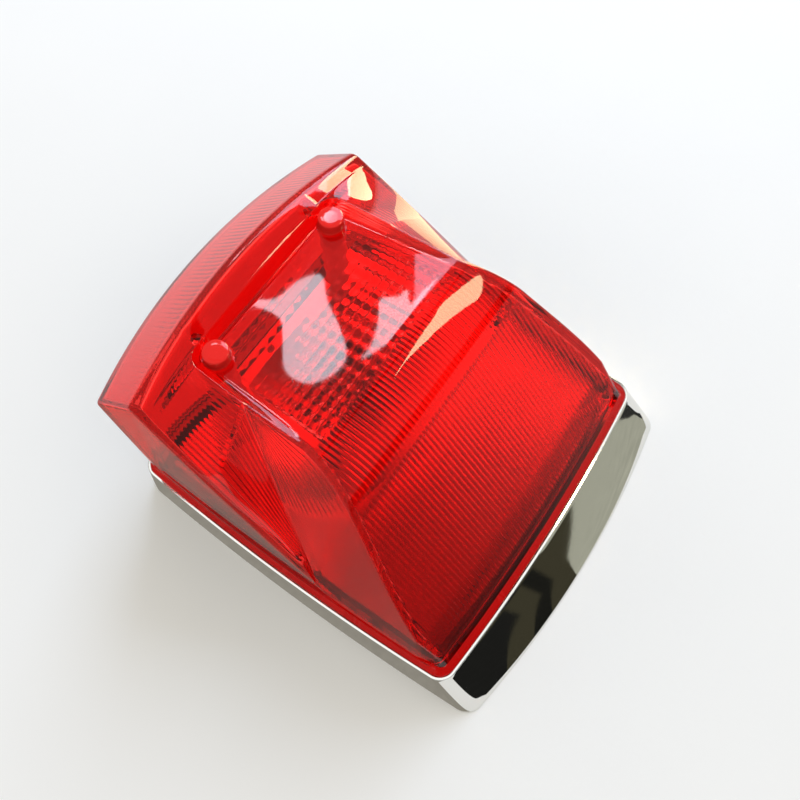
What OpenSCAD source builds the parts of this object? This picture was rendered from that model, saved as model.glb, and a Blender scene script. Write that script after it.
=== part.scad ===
// Motorcycle tail light: a red one-piece lens on a chrome plinth, with its bulb, socket and fixings.
// Millimetres. The lamp lies on its mounting face, lens up (+Z), with the tall nose towards +Y.
// The origin is midway between the two mounting bolts, on the mounting face.

/* [Rim] */
// Width of the chrome rim at its low end
rim_w = 118; // [108:1:130]
// Length of the chrome rim
rim_len = 121; // [115:1:132]
// How much narrower each side of the rim is at the nose end
rim_taper = 1.5; // [0:0.1:3]
// How far the long sides bow outwards
side_bow = 1.9; // [0.2:0.1:3]
// How far the ends bow outwards
end_bow = 2.4; // [0.2:0.1:4]
// Corner radius of the rim
corner_r = 6; // [5:0.5:10]

/* [Chrome housing] */
// Height of the plinth, from the mounting face to the rim
plinth_h = 14.2; // [13:0.1:18]
// How far the skirt flares out at the low end
skirt_out = 12; // [6:0.5:16]
// How far the bottom edge of that skirt bows outwards
skirt_bow = 4.5; // [3:0.1:7]
// How far the sides of the plinth flare out
side_flare = 1.5; // [0:0.1:4]
// Wall thickness of the housing
housing_wall = 2.2; // [1.8:0.1:3]
// Width of the bright land on top of the rim
rim_land = 1; // [0.8:0.1:1.4]
// Depth of the lens seat below the rim
seat_depth = 2.2; // [1.8:0.1:3]
// Width of the seat ledge
seat_w = 7; // [5.5:0.1:9]
// Thickness of the seat ledge
seat_t = 2.2; // [1.6:0.1:3]

/* [Lens] */
// Wall thickness of the lens
lens_wall = 2.6; // [2:0.1:3]
// Height of the level top face above the rim
face_h = 58.5; // [52:0.5:64]
// Distance of the top face's upper edge from the far rim edge
face_gap = 15.5; // [14:0.5:19]
// Distance at which the top face starts to bend down
face_near = 62; // [58:0.5:66]
// Half width of the top face at its upper edge
face_half_far = 33; // [30:0.5:36]
// Half width of the top face where it bends
face_half_near = 36; // [34:0.5:40]
// Radius of the bend between the top face and the ribbed panel
bend_r = 27; // [20:1:32]
// Depth of the recess at the upper edge of the top face
recess_d = 4.2; // [3:0.1:5]
// Width of the recess's sloping walls
recess_slope = 2.4; // [1.6:0.1:4]
// Distance of the lens wall inside the rim
foot_inset = 2.6; // [2:0.1:3.4]
// Draft of the side walls, in mm per mm of height
side_draft = 0.06; // [0.02:0.01:0.09]
// Distance below the upper edge at which the raised middle starts to stand out of the hood
shoulder_gap = 21.5; // [18:0.5:25]
// Distance at which the hood runs out at the side wall
hood_near = 48.5; // [46:0.5:52]
// Height at which the hood runs out
hood_near_h = 12; // [9:0.5:15]
// Distance of the hood's end edge from the far rim edge at its corners
hood_gap = 11.5; // [9:0.5:12.5]
// How far the corners of the hood's end edge lie below the top face
hood_drop = 4.1; // [2:0.1:7]
// How far the end edge arches up in the middle
hood_crown = 7.9; // [4:0.1:10]
// How far the end edge bows outwards in the middle
hood_bow = 3.4; // [1:0.1:5]
// How far the nose's corners overhang the far rim edge
nose_over = 5.9; // [3:0.1:9]
// How far the nose's corners lie below the top face
nose_drop = 18.5; // [15:0.5:24]
// Distance of the nose's corners inside the rim's sides
nose_side = 5; // [4:0.1:7]
// How far the nose bows outwards in the middle
nose_bow = 7; // [4:0.1:9]
// How far the nose arches up in the middle
nose_crown = 2.4; // [0:0.1:4]

/* [Lens posts and screws] */
// Distance of the posts from the top face's side edges
post_side = 6.3; // [5.5:0.1:8]
// Distance of the posts from the top face's upper edge
post_edge = 5.8; // [5:0.1:8]
// Radius of a post
post_r = 4; // [3.5:0.1:4.5]
// Radius of a lens screw's thread
screw_r = 1.95; // [1.5:0.05:2.2]
// Thread engagement of a lens screw in its post
screw_grip = 16; // [10:1:24]
// Radius of a lens screw's head
screw_head_r = 3.6; // [3.2:0.1:4]
// Height of a lens screw's head
screw_head_h = 1.6; // [1.2:0.1:1.8]
// Thickness of a washer
washer_t = 0.8; // [0.5:0.1:1]

/* [Base tray and gaskets] */
// Sheet thickness of the base tray
tray_t = 2; // [1.5:0.1:2.4]
// Depth of the base tray's floor above the mounting face
tray_z = 3; // [2.8:0.1:3.6]
// Thickness of the lens gasket
gasket_t = 1.2; // [0.8:0.1:1.4]
// Width of the gasket behind the tray
base_gasket_w = 7; // [5:0.5:9]

/* [Mounting] */
// Distance between the two mounting bolts
bolt_spacing = 60; // [50:1:66]
// Distance of the bolts from the low rim edge
bolt_far = 35; // [30:0.5:38]
// Radius of the bolt hole in a rivet nut
bolt_r = 3; // [2.5:0.05:3.2]
// Radius of a rivet nut's body
nut_r = 4.6; // [4.2:0.1:5.5]
// Height of a rivet nut above the tray
nut_h = 7; // [5:0.5:7.5]
// Radius of the wire inlet through the grommet
inlet_r = 3.5; // [2.5:0.1:4.5]
// Distance of the wire inlet from the low rim edge
inlet_far = 22; // [20:0.5:24]
// Wall of the grommet round the inlet
grommet_wall = 2.2; // [1.6:0.1:3]

/* [Reflector] */
// Sheet thickness of the reflector
reflector_t = 1.6; // [1.2:0.1:2]
// Flat margin between the dish and the reflector's end
dish_margin = 1.2; // [0.8:0.1:4]
// Depth of the dish
dish_d = 7; // [5:0.2:7.4]
// Gap between the reflector's edge and the lens
reflector_gap = 2.4; // [1.5:0.1:4]
// Distance of the reflector screws from the rim's sides
reflector_screw_side = 15; // [14:0.5:18]
// Distance of the reflector screws from the low rim edge
reflector_screw_far = 40; // [38:0.5:44]
// Radius of a reflector screw
reflector_screw_r = 1.5; // [1.2:0.05:1.8]

/* [Bulb and socket] */
// Distance of the bulb's axis from the far rim edge
bulb_gap = 43; // [40:0.5:46]
// Radius of the bulb's cap
cap_r = 7.5; // [7:0.1:8]
// Length of the bulb's cap
cap_len = 17; // [15:0.5:19]
// Greatest radius of the glass
glass_r = 12.5; // [11:0.1:13]
// Length of the whole bulb above its contacts
bulb_len = 46; // [44:0.5:48]
// Radial play between cap and socket
cap_play = 0.1; // [0.05:0.01:0.15]
// Wall of the socket shell
socket_wall = 0.8; // [0.6:0.1:1]
// Height of the socket shell
socket_h = 18; // [16:0.5:20]
// Radius of a bayonet pin
pin_r = 1; // [0.8:0.05:1.2]
// How far a bayonet pin stands out of the cap
pin_out = 1.25; // [1.1:0.05:1.4]
// Height of the pins above the bulb's contacts
pin_h = 5; // [4.5:0.1:6]
// Turn of the bulb between its entry slots and its locked place, in degrees
twist_deg = 20; // [14:1:26]
// Free travel of the sprung contacts
contact_travel = 2; // [1:0.1:2.4]
// Gap between a sprung contact and the bulb's contact
contact_gap = 0.3; // [0.2:0.05:0.5]
// Wire radius of the contact spring
spring_wire = 0.4; // [0.3:0.05:0.45]

/* [Clearances] */
// Clearance round pieces that are fitted into each other
fit_gap = 0.3; // [0.2:0.05:0.4]
// Clearance round screws and rivets in their holes
hole_gap = 0.2; // [0.1:0.05:0.3]

/* [Hidden] */
$fn = 64;
eps = 0.01;

// Heights above the mounting face, and distances from the low rim edge
seat_z = plinth_h - seat_depth;
face_far = rim_len - face_gap;
shoulder_far = face_far - shoulder_gap;
hood_far = rim_len - hood_gap;
nose_far = rim_len + nose_over;
hood_far_h = face_h - hood_drop;
nose_h = face_h - nose_drop;
nose_half = rim_w / 2 - nose_side;
post_far = face_far - post_edge;
post_spacing = 2 * (face_half_far - post_side);
reflector_screw_spacing = rim_w - 2 * reflector_screw_side;
bulb_far = rim_len - bulb_gap;
ledge_z = seat_z - seat_t;
flange_z = seat_z + gasket_t;
tray_top = tray_z + tray_t;

// Outline of the plinth at an inset and a flare: bowed sides, round corners, counter-clockwise
arc_steps = 5;
side_steps = 5;
function bow(t, sag) = 4 * sag * t * (1 - t);
function corner(cx, cy, r, from) =
    [for (i = [0:arc_steps]) let (a = from + 90 * i / arc_steps) [cx + r * cos(a), cy + r * sin(a)]];
function bowed(a, b, out, sag) =
    [for (i = [1:side_steps]) let (t = i / (side_steps + 1)) a + (b - a) * t + out * bow(t, sag)];
function outline(w0, w1, y0, y1, r, sag_low, sag_side, sag_far) = concat(
    corner(w0 - r, y0 + r, r, -90),
    bowed([w0, y0 + r], [w1, y1 - r], [1, 0], sag_side),
    corner(w1 - r, y1 - r, r, 0),
    bowed([w1 - r, y1], [r - w1, y1], [0, 1], sag_far),
    corner(r - w1, y1 - r, r, 90),
    bowed([-w1, y1 - r], [-w0, y0 + r], [-1, 0], sag_side),
    corner(r - w0, y0 + r, r, 180),
    bowed([r - w0, y0], [w0 - r, y0], [0, -1], sag_low));
function rim_outline(inset) = outline(rim_w / 2 - inset, rim_w / 2 - rim_taper - inset,
    inset - bolt_far, rim_len - inset - bolt_far, max(corner_r - inset, 0.8), end_bow, side_bow, end_bow);
function foot_outline(inset) = outline(rim_w / 2 + side_flare - inset,
    rim_w / 2 - rim_taper + side_flare - inset, inset - skirt_out - bolt_far, rim_len - inset - bolt_far,
    max(corner_r - inset, 0.8),
    skirt_bow, side_bow, end_bow);
function at_z(ring, z) = [for (p = ring) [p[0], p[1], z]];

// Closed skin through equal rings of points; the last ring joins the first again
module ring_skin(rings) {
    n = len(rings[0]);
    m = len(rings);
    faces = [for (k = [0:m - 1], i = [0:n - 1]) let (a = k * n + i, b = k * n + (i + 1) % n,
        c = ((k + 1) % m) * n + (i + 1) % n, d = ((k + 1) % m) * n + i) each [[a, c, b], [a, d, c]]];
    polyhedron(points = [for (r = rings) each r], faces = faces, convexity = 8);
}
module ring_plate(outer, inner, z0, z1) {
    translate([0, 0, z0]) linear_extrude(z1 - z0) difference() {
        polygon(outer);
        polygon(inner);
    }
}
module at_pair(spacing, far) {
    for (s = [-1, 1]) translate([s * spacing / 2, far - bolt_far, 0]) children();
}

// Lens outline over the rim plane: distances run from the low rim edge
foot_z = 1.4;
panel_y0 = foot_inset - end_bow;
bend_rise = face_h - bend_r - foot_z;
bend_run = face_near - panel_y0;
panel_deg = atan2(bend_rise, bend_run) + asin(bend_r / norm([bend_run, bend_rise]));
bend_y = face_near - bend_r * sin(panel_deg);
bend_z = face_h - bend_r * (1 - cos(panel_deg));
rim_half = rim_w / 2;
function wall_half(y) = rim_half - foot_inset - rim_taper * y / rim_len + bow(y / rim_len, side_bow);
function wall_x(y, z) = wall_half(y) - side_draft * z;
function ease(u) = 0.65 * u * u * (3 - 2 * u) + 0.35 * sin(90 * u);
function edge_half(y) = y >= face_near
    ? face_half_far + (face_far - y) * (face_half_near - face_half_far) / (face_far - face_near)
    : let (u = (face_near - y) / (face_near - panel_y0))
        face_half_near + (wall_half(0) - 0.6 - face_half_near) * ease(min(u, 1));
function panel_z(y) = y >= face_near ? face_h
    : y >= bend_y ? face_h - bend_r + sqrt(bend_r * bend_r - pow(face_near - y, 2))
    : bend_z - (bend_y - y) * tan(panel_deg);
function floor_drop(y) = y <= face_near ? 0 : recess_d * (y - face_near) / (face_far - face_near);
function hood_edge_z(y) = hood_near_h + (hood_far_h - hood_near_h) * (y - hood_near) / (hood_far - hood_near);
function part_way(a, b, t) = a + (b - a) * t;
lip_w = 2.6;
rim_run = 10;
mid_rise = 1.2;

// The valley where the raised middle meets the hood, or the side wall below it
function valley(y) = y >= shoulder_far ? [edge_half(y) + 0.4, y, panel_z(y) - 0.4]
    : y >= hood_near
    ? let (t = (shoulder_far - y) / (shoulder_far - hood_near), x0 = edge_half(shoulder_far) + 0.4)
        [part_way(x0, wall_x(hood_near, hood_near_h), t), y, part_way(face_h - 0.4, hood_near_h, t)]
    : let (z = max(hood_near_h - (hood_near - y) * (hood_near_h - foot_z) / rim_run, foot_z + 1.2))
        [wall_x(y, z), y, min(z, part_way(foot_z, panel_z(y), 0.6))];
// The edge between the hood and the side wall
function side_edge(y) = y >= hood_near ? [wall_x(y, hood_edge_z(y)), y, hood_edge_z(y)]
    : let (v = valley(y), z = part_way(foot_z, v[2], 0.5)) [wall_x(y, z), y, z];

// Half rows of lens points from the middle to the wall's foot, at a distance o inside the outer skin
function hood_mid(a, b, o) = [(a[0] + b[0]) / 2, (a[1] + b[1]) / 2, (a[2] + b[2]) / 2 + mid_rise];
function panel_row(y, o) =
    let (flat = y < bend_y,
        bend = y < face_near ? bend_r / sqrt(bend_r * bend_r - pow(face_near - y, 2)) : 1,
        z = panel_z(y) - o * (flat ? 1 / cos(panel_deg) : bend),
        e = edge_half(y) - 0.9 * o,
        v = valley(y),
        s = side_edge(y),
        hood = y >= hood_near,
        vi = y >= shoulder_far ? [v[0] - 0.3 * o, y, v[2] - 0.8 * o - (o > 0 ? floor_drop(y) : 0)]
            : [v[0] - o, y, hood ? v[2] - 0.8 * o : min(v[2], z - 0.4)],
        si = [s[0] - o, y, hood ? s[2] - 0.6 * o : min(s[2], vi[2] - 0.3)],
        w = min(recess_slope, e / 3),
        sag = y < bend_y ? end_bow * (bend_y - y) / (bend_y - panel_y0) : 0,
        lift = function(x) sag * pow(x / e, 2))
    [[0, y, z - floor_drop(y)],
     [(e - w) / 2, y + lift((e - w) / 2), z - floor_drop(y)],
     [e - w, y + lift(e - w), z - floor_drop(y)],
     [e, y + sag, z - (o > 0 ? floor_drop(y) : 0)],
     vi, hood_mid(vi, si, o), si,
     [wall_x(y, foot_z) - o, y, o > 0 ? flange_z - plinth_h : foot_z]];
function ridge_row(o) =
    let (v = valley(face_far), s = side_edge(face_far), e = edge_half(face_far) - 0.9 * o,
        vi = [v[0] - 0.3 * o, face_far, v[2] - 1.4 * o],
        si = [s[0] - o, face_far, s[2] - 0.6 * o],
        y = face_far + 0.6 * o)
    [[0, y, face_h + 0.9 - o], [(e - recess_slope) / 2, y, face_h + 0.7 - o], [e - recess_slope, y, face_h - o],
     [e, y, face_h - o], vi, hood_mid(vi, si, o), si,
     [wall_x(face_far, foot_z) - o, face_far, o > 0 ? flange_z - plinth_h : foot_z]];
// Rows over the end: half width, corner distance, bow, corner height, crown and the foot's distance
function end_row(half, far, sag, z, crown, foot_y, o) =
    let (xs = [0, 0.3, 0.57, 0.625, 0.65, 0.82, 1])
    concat([for (t = xs) [t * half, far + sag * (1 - t * t), z + crown * (1 - t * t)]],
        [[wall_x(foot_y, foot_z) - o, foot_y, o > 0 ? flange_z - plinth_h : foot_z]]);
base_y = rim_len - foot_inset;
foot_in = flange_z - plinth_h;
function end_foot(t, o) = part_way(face_far, base_y - 2 - o, t);
function end_rows(o) = [
    end_row(wall_x(hood_far, hood_far_h) - 1 - o, hood_far - lip_w - 0.2 * o, hood_bow,
        hood_far_h + 0.4 - o, hood_crown, end_foot(0.2, o), o),
    end_row(wall_x(hood_far, hood_far_h) - o, hood_far - 0.6 * o, hood_bow,
        hood_far_h - 1.4 - 0.9 * o, hood_crown, end_foot(0.4, o), o),
    end_row(nose_half - o, nose_far - 1.2 - 0.9 * o, nose_bow,
        nose_h + 1.6 - 0.6 * o, nose_crown, end_foot(0.6, o), o),
    end_row(nose_half - o, nose_far - o, nose_bow,
        nose_h - 1.6 - 0.3 * o, nose_crown, end_foot(0.8, o), o),
    end_row(wall_x(base_y, foot_z) - 1.6 - o, base_y - o, end_bow,
        o > 0 ? foot_in : foot_z, 0, end_foot(1, o), o)];
row_ys = [12, 22, 33, part_way(bend_y, 33, 0.1), part_way(bend_y, face_near, 0.35),
    part_way(bend_y, face_near, 0.7), face_near, part_way(face_near, shoulder_far, 0.45),
    shoulder_far, part_way(shoulder_far, face_far, 0.45), face_far - recess_slope];
// The lowest row turns round the lens's corners at the flange
function foot_row(o) =
    let (h = wall_half(0) - o,
        y = panel_y0 + (o > 0 ? o / sin(panel_deg) + 0.6 : 0),
        z = o > 0 ? foot_in : foot_z)
    [[0, y, z], [h * 0.45, y + end_bow * 0.2, z], [h * 0.8, y + end_bow * 0.62, z],
     [h - 3.4, y + end_bow * 0.88, z], [h - 1.9, y + end_bow * 0.95 + 0.3, z],
     [h - 0.8, y + end_bow + 1, z], [h - 0.2, y + end_bow + 2, z],
     [h, y + end_bow + 3.4, z]];
function half_rows(o) = concat([foot_row(o)], [for (y = row_ys) panel_row(y, o)], [ridge_row(o)], end_rows(o));
function mirrored(row) = concat([for (i = [len(row) - 1:-1:1]) [-row[i][0], row[i][1], row[i][2]]], row);
function lens_grid(o) = [for (r = half_rows(o)) mirrored(r)];
// Points round a grid's border, counter-clockwise from its first row
function border(rows, cols) = concat([for (i = [0:cols - 1]) i], [for (k = [1:rows - 1]) k * cols + cols - 1],
    [for (i = [cols - 2:-1:0]) (rows - 1) * cols + i], [for (k = [rows - 2:-1:1]) k * cols]);
function grid_faces(rows, cols, base, flip) = [for (k = [0:rows - 2], i = [0:cols - 2])
    let (a = base + k * cols + i, b = a + 1, c = a + cols + 1, d = a + cols)
    each (flip ? [[a, b, c], [a, c, d]] : [[a, c, b], [a, d, c]])];
function strip_faces(r0, r1) = let (n = len(r0)) [for (i = [0:n - 1]) let (j = (i + 1) % n)
    each [[r0[i], r0[j], r1[j]], [r0[i], r1[j], r1[i]]]];
flange_out = foot_inset - rim_land - fit_gap;
gasket_hidden = 0.6;
module lens_skin() {
    outer = lens_grid(0);
    inner = lens_grid(lens_wall);
    rows = len(outer);
    cols = len(outer[0]);
    n = rows * cols;
    pts_out = [for (r = outer) each r];
    pts_in = [for (r = inner) each r];
    loop = border(rows, cols);
    m = len(loop);
    ring = [for (i = [0:m - 1]) let (p = pts_out[loop[i]], a = pts_out[loop[(i + m - 1) % m]],
        b = pts_out[loop[(i + 1) % m]], t = [b[0] - a[0], b[1] - a[1]], l = norm(t))
        [p[0] + flange_out * t[1] / l, p[1] - flange_out * t[0] / l]];
    top_ring = [for (p = ring) [p[0], p[1], foot_z - 0.6]];
    low_ring = [for (p = ring) [p[0], p[1], foot_in]];
    r_out = loop;
    r_in = [for (i = loop) n + i];
    r_top = [for (i = [0:m - 1]) 2 * n + i];
    r_low = [for (i = [0:m - 1]) 2 * n + m + i];
    polyhedron(points = concat(pts_out, pts_in, top_ring, low_ring),
        faces = concat(grid_faces(rows, cols, 0, false), grid_faces(rows, cols, n, true),
            strip_faces(r_out, r_top), strip_faces(r_top, r_low), strip_faces(r_low, r_in)), convexity = 10);
}

module lens() {
    post_foot = tray_top + fit_gap;
    color([0.8, 0.05, 0.05]) difference() {
        union() {
            translate([0, -bolt_far, plinth_h]) lens_skin();
            at_pair(post_spacing, post_far) translate([0, 0, post_foot])
                cylinder(r = post_r, h = plinth_h + face_h - post_foot);
        }
        at_pair(post_spacing, post_far) translate([0, 0, post_foot - 1])
            cylinder(r = screw_r + hole_gap / 2, h = screw_grip + 2);
    }
}
module lens_gasket() {
    inner = foot_inset + lens_wall - gasket_hidden;
    color([0.6, 0.6, 0.6]) ring_plate(rim_outline(rim_land + fit_gap), rim_outline(inner), seat_z, flange_z);
}
module chrome_housing() {
    land = 0.5;
    color([0.8, 0.8, 0.78]) ring_skin([
        at_z(foot_outline(0), 0),
        at_z(rim_outline(0), plinth_h - land),
        at_z(rim_outline(land / 2), plinth_h),
        at_z(rim_outline(rim_land), plinth_h),
        at_z(rim_outline(rim_land), seat_z),
        at_z(rim_outline(rim_land + seat_w), seat_z),
        at_z(rim_outline(rim_land + seat_w), ledge_z),
        at_z(rim_outline(housing_wall), ledge_z),
        at_z(foot_outline(housing_wall), 0)]);
}
module base_plate() {
    wall_in = housing_wall + fit_gap;
    color([0.6, 0.6, 0.62]) difference() {
        union() {
            translate([0, 0, tray_z]) linear_extrude(tray_t) polygon(rim_outline(wall_in));
            ring_plate(rim_outline(wall_in), rim_outline(wall_in + tray_t), tray_z, ledge_z);
        }
        at_pair(bolt_spacing, bolt_far) cylinder(r = nut_r + hole_gap, h = plinth_h);
        at_pair(post_spacing, post_far) cylinder(r = screw_r + hole_gap, h = plinth_h);
        at_pair(reflector_screw_spacing, reflector_screw_far)
            cylinder(r = reflector_screw_r + hole_gap, h = plinth_h);
        translate([0, bulb_far - bolt_far, 0]) cylinder(r = socket_out + hole_gap, h = plinth_h);
        socket_holes() cylinder(r = rivet_r + hole_gap, h = plinth_h);
        translate([0, inlet_far - bolt_far, 0])
            cylinder(r = inlet_r + grommet_wall / 2 + hole_gap, h = plinth_h);
        translate(earth_at) cylinder(r = rivet_r + hole_gap, h = plinth_h);
    }
}
module base_gasket() {
    inset = housing_wall + fit_gap;
    color([0.12, 0.12, 0.12]) ring_plate(rim_outline(inset), rim_outline(inset + base_gasket_w), 0, tray_z);
}

// Fixings
module headed(shank_r, head_r, head_h, top, bottom) {
    translate([0, 0, bottom]) cylinder(r = head_r, h = head_h);
    translate([0, 0, bottom + head_h - eps]) cylinder(r = shank_r, h = top - bottom - head_h + eps);
}
nut_flange_r = nut_r + 1.6;
nut_flange_t = tray_z;
module rivet_nuts() {
    color([0.7, 0.68, 0.6]) at_pair(bolt_spacing, bolt_far) difference() {
        union() {
            translate([0, 0, tray_z - nut_flange_t]) cylinder(r = nut_flange_r, h = nut_flange_t);
            translate([0, 0, tray_z - eps]) cylinder(r = nut_r, h = tray_t + nut_h);
            translate([0, 0, tray_top]) cylinder(r = nut_r + 1, h = 1.6);
        }
        cylinder(r = bolt_r, h = plinth_h * 2);
    }
}
module lens_screws() {
    head_z = tray_z - washer_t - screw_head_h;
    slot = 0.8;
    color([0.72, 0.72, 0.7]) at_pair(post_spacing, post_far) difference() {
        headed(screw_r, screw_head_r, screw_head_h, tray_top + screw_grip, head_z);
        for (turn = [0, 90]) rotate([0, 0, turn]) translate([-screw_head_r / 2, -slot / 2, 0])
            cube([screw_head_r, slot, head_z + slot]);
    }
}
module lens_screw_washers() {
    color([0.75, 0.75, 0.72]) at_pair(post_spacing, post_far)
    translate([0, 0, tray_z - washer_t]) difference() {
        cylinder(r = screw_head_r + 0.9, h = washer_t);
        translate([0, 0, -1]) cylinder(r = screw_r + hole_gap, h = washer_t + 2);
    }
}

// Reflector: a flat tray under the lens with a shallow dish round the bulb
flange_over = 1.4;
reflector_z = flange_z + flange_over;
foot_slope_room = 1.5;
reflector_inset = foot_inset + lens_wall + reflector_gap + foot_slope_room;
dish_r = rim_len - reflector_inset - bulb_far - dish_margin;
dish_hole = glass_r + 1;
dish_steps = 8;
function dish_step(i) = part_way(dish_hole, dish_r, i / dish_steps);
function dish_z(r) = -dish_d * (1 - pow((r - dish_hole) / (dish_r - dish_hole), 2));
leg_r = reflector_screw_r + 2;
module reflector() {
    color([0.85, 0.85, 0.86]) difference() {
        union() {
            translate([0, 0, reflector_z]) linear_extrude(reflector_t) difference() {
                polygon(rim_outline(reflector_inset));
                translate([0, bulb_far - bolt_far]) circle(r = dish_r - 0.5);
            }
            translate([0, bulb_far - bolt_far, reflector_z]) rotate_extrude() polygon(concat(
                [for (i = [0:dish_steps]) [dish_step(i), dish_z(dish_step(i)) + reflector_t]],
                [for (i = [dish_steps:-1:0]) [dish_step(i), dish_z(dish_step(i))]]));
            at_pair(reflector_screw_spacing, reflector_screw_far) translate([0, 0, tray_top])
                cylinder(r = leg_r, h = reflector_z - tray_top + eps);
        }
        at_pair(post_spacing, post_far) translate([0, 0, tray_top])
            cylinder(r = post_r + fit_gap, h = plinth_h * 2);
        at_pair(reflector_screw_spacing, reflector_screw_far) translate([0, 0, tray_z])
            cylinder(r = reflector_screw_r + hole_gap / 2, h = reflector_z - tray_z);
    }
}
module reflector_screws() {
    head_h = 1.4;
    color([0.72, 0.72, 0.7]) at_pair(reflector_screw_spacing, reflector_screw_far)
        headed(reflector_screw_r, reflector_screw_r * 1.9, head_h, reflector_z - 1.5, tray_z - head_h);
}

// Socket, on the tray: heights from the contacts up
socket_in = cap_r + cap_play;
socket_out = socket_in + socket_wall;
socket_z = tray_z + 0.3;
lip_t = 0.8;
carrier_t = 2.6;
spring_turns = 3;
button_h = 1;
spring_h = contact_travel + 2 * spring_wire * (spring_turns + 1) + fit_gap;
carrier_z = socket_z + lip_t + spring_h;
bulb_z = carrier_z + carrier_t + button_h + contact_gap;
pin_z = bulb_z + pin_h;
slot_half = pin_r + 0.35;
slot_deg = asin(slot_half / socket_in) + 1;
rivet_r = 1.5;
rivet_head = 0.9;
rivet_head_h = 0.8;
rivet_reach = 2.8;
flange_t = 1.2;
flange_w = 5.4;
socket_flange_r = socket_out + flange_w;
earth_side = 21;
earth_x = rim_w / 2 - earth_side;
earth_far = 16;
earth_at = [earth_x, earth_far - bolt_far, 0];
module on_bulb_axis() {
    translate([0, bulb_far - bolt_far, 0]) children();
}
module socket_holes() {
    on_bulb_axis() for (s = [-1, 1]) translate([0, s * (socket_out + rivet_reach), 0]) children();
}
module bulb_socket() {
    color([0.75, 0.74, 0.7]) on_bulb_axis() difference() {
        union() {
            translate([0, 0, socket_z]) cylinder(r = socket_out, h = socket_h);
            translate([0, 0, tray_top]) cylinder(r = socket_flange_r, h = flange_t);
        }
        translate([0, 0, socket_z + lip_t]) cylinder(r = socket_in, h = socket_h);
        translate([0, 0, socket_z - 1]) cylinder(r = socket_in - 1.8, h = socket_h);
        // Hook slots: straight in from the mouth, then round to the locked place
        for (side = [0, 180]) rotate([0, 0, side]) {
            rotate([0, 0, -slot_deg]) rotate_extrude(angle = twist_deg + 2 * slot_deg)
                translate([socket_in - 1, pin_z - slot_half]) square([socket_wall + 2, 2 * slot_half]);
            rotate([0, 0, twist_deg]) translate([socket_in - 1, -slot_half, pin_z])
                cube([socket_wall + 2, 2 * slot_half, socket_h]);
        }
        for (s = [-1, 1]) translate([0, s * (socket_out + rivet_reach), 0])
            cylinder(r = rivet_r + hole_gap, h = plinth_h);
    }
}
module rivet(z0, z1) {
    head_r = rivet_r + rivet_head;
    translate([0, 0, z0 - rivet_head_h]) cylinder(r = head_r, h = rivet_head_h);
    translate([0, 0, z0 - eps]) cylinder(r = rivet_r, h = z1 - z0 + 2 * eps);
    translate([0, 0, z1]) cylinder(r = head_r, h = rivet_head_h);
}
module socket_rivets() {
    color([0.7, 0.7, 0.68]) socket_holes() rivet(tray_z, tray_top + flange_t);
}

// Contact spring: a helix swept as one tube
spring_rings = 12;
spring_sides = 6;
spring_r = socket_in - 1.4;
module contact_spring() {
    n = spring_turns * spring_rings;
    rise = spring_h - 2 * spring_wire - 0.1;
    rings = [for (k = [0:n]) let (a = 360 * k / spring_rings, z = spring_wire + 0.05 + rise * k / n)
        [for (j = [0:spring_sides - 1]) let (b = 360 * j / spring_sides, r = spring_r + spring_wire * cos(b))
            [r * cos(a), r * sin(a), z + spring_wire * sin(b)]]];
    echo(spring_gap = rise / spring_turns - 2 * spring_wire);
    last = n * spring_sides;
    sides = [for (k = [0:n - 1], j = [0:spring_sides - 1]) let (a = k * spring_sides + j,
        b = k * spring_sides + (j + 1) % spring_sides, c = b + spring_sides, d = a + spring_sides)
        each [[a, b, c], [a, c, d]]];
    caps = [for (j = [1:spring_sides - 2]) each [[0, j + 1, j], [last, last + j, last + j + 1]]];
    color([0.7, 0.7, 0.72]) on_bulb_axis() translate([0, 0, socket_z + lip_t])
        polyhedron(points = [for (r = rings) each r], faces = concat(sides, caps), convexity = 10);
}
button_x = 3.2;
button_r = 1.3;
module contact_carrier() {
    color([0.45, 0.25, 0.12]) on_bulb_axis() difference() {
        translate([0, 0, carrier_z]) cylinder(r = socket_in - 0.15, h = carrier_t);
        for (s = [-1, 1]) translate([s * button_x, 0, carrier_z - 1])
            cylinder(r = button_r + 0.05, h = carrier_t + 2);
    }
}
module contact_buttons() {
    color([0.8, 0.65, 0.3]) on_bulb_axis() for (s = [-1, 1]) translate([s * button_x, 0, carrier_z]) {
        cylinder(r = button_r, h = carrier_t + eps);
        translate([0, 0, carrier_t]) cylinder(r1 = button_r + 0.5, r2 = button_r - 0.3, h = button_h);
    }
}

// Bulb
cap_wall = 0.6;
pad_h = 0.8;
cap_z = bulb_z + pad_h;
neck_r = cap_r - cap_wall - 0.15;
glass_wall = 0.8;
glass_z = cap_z + cap_len * 0.55;
glass_top = bulb_z + bulb_len;
ball_z = glass_top - glass_r;
neck_top = cap_z + cap_len + 1;
function glass_profile(t) = concat(
    [[neck_r - t, glass_z], [neck_r - t, neck_top]],
    [for (u = [0:0.25:1])
        [part_way(neck_r, glass_r, u * u * (3 - 2 * u)) - t, part_way(neck_top + 2, ball_z - 5, u)]],
    [for (a = [0:10:90]) [max((glass_r - t) * cos(a), 0), ball_z + (glass_r - t) * sin(a)]]);
module bulb_cap() {
    color([0.78, 0.7, 0.45]) on_bulb_axis() difference() {
        translate([0, 0, cap_z]) cylinder(r = cap_r, h = cap_len);
        translate([0, 0, cap_z + cap_floor]) cylinder(r = cap_r - cap_wall, h = cap_len);
        for (side = [0, 180]) rotate([0, 0, side]) translate([0, 0, pin_z]) rotate([0, 90, 0])
            cylinder(r = pin_r + 0.02, h = cap_r * 2);
        for (s = [-1, 1]) translate([s * button_x, 0, cap_z - 1]) cylinder(r = button_r + 0.7, h = 1.6);
    }
}
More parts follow.
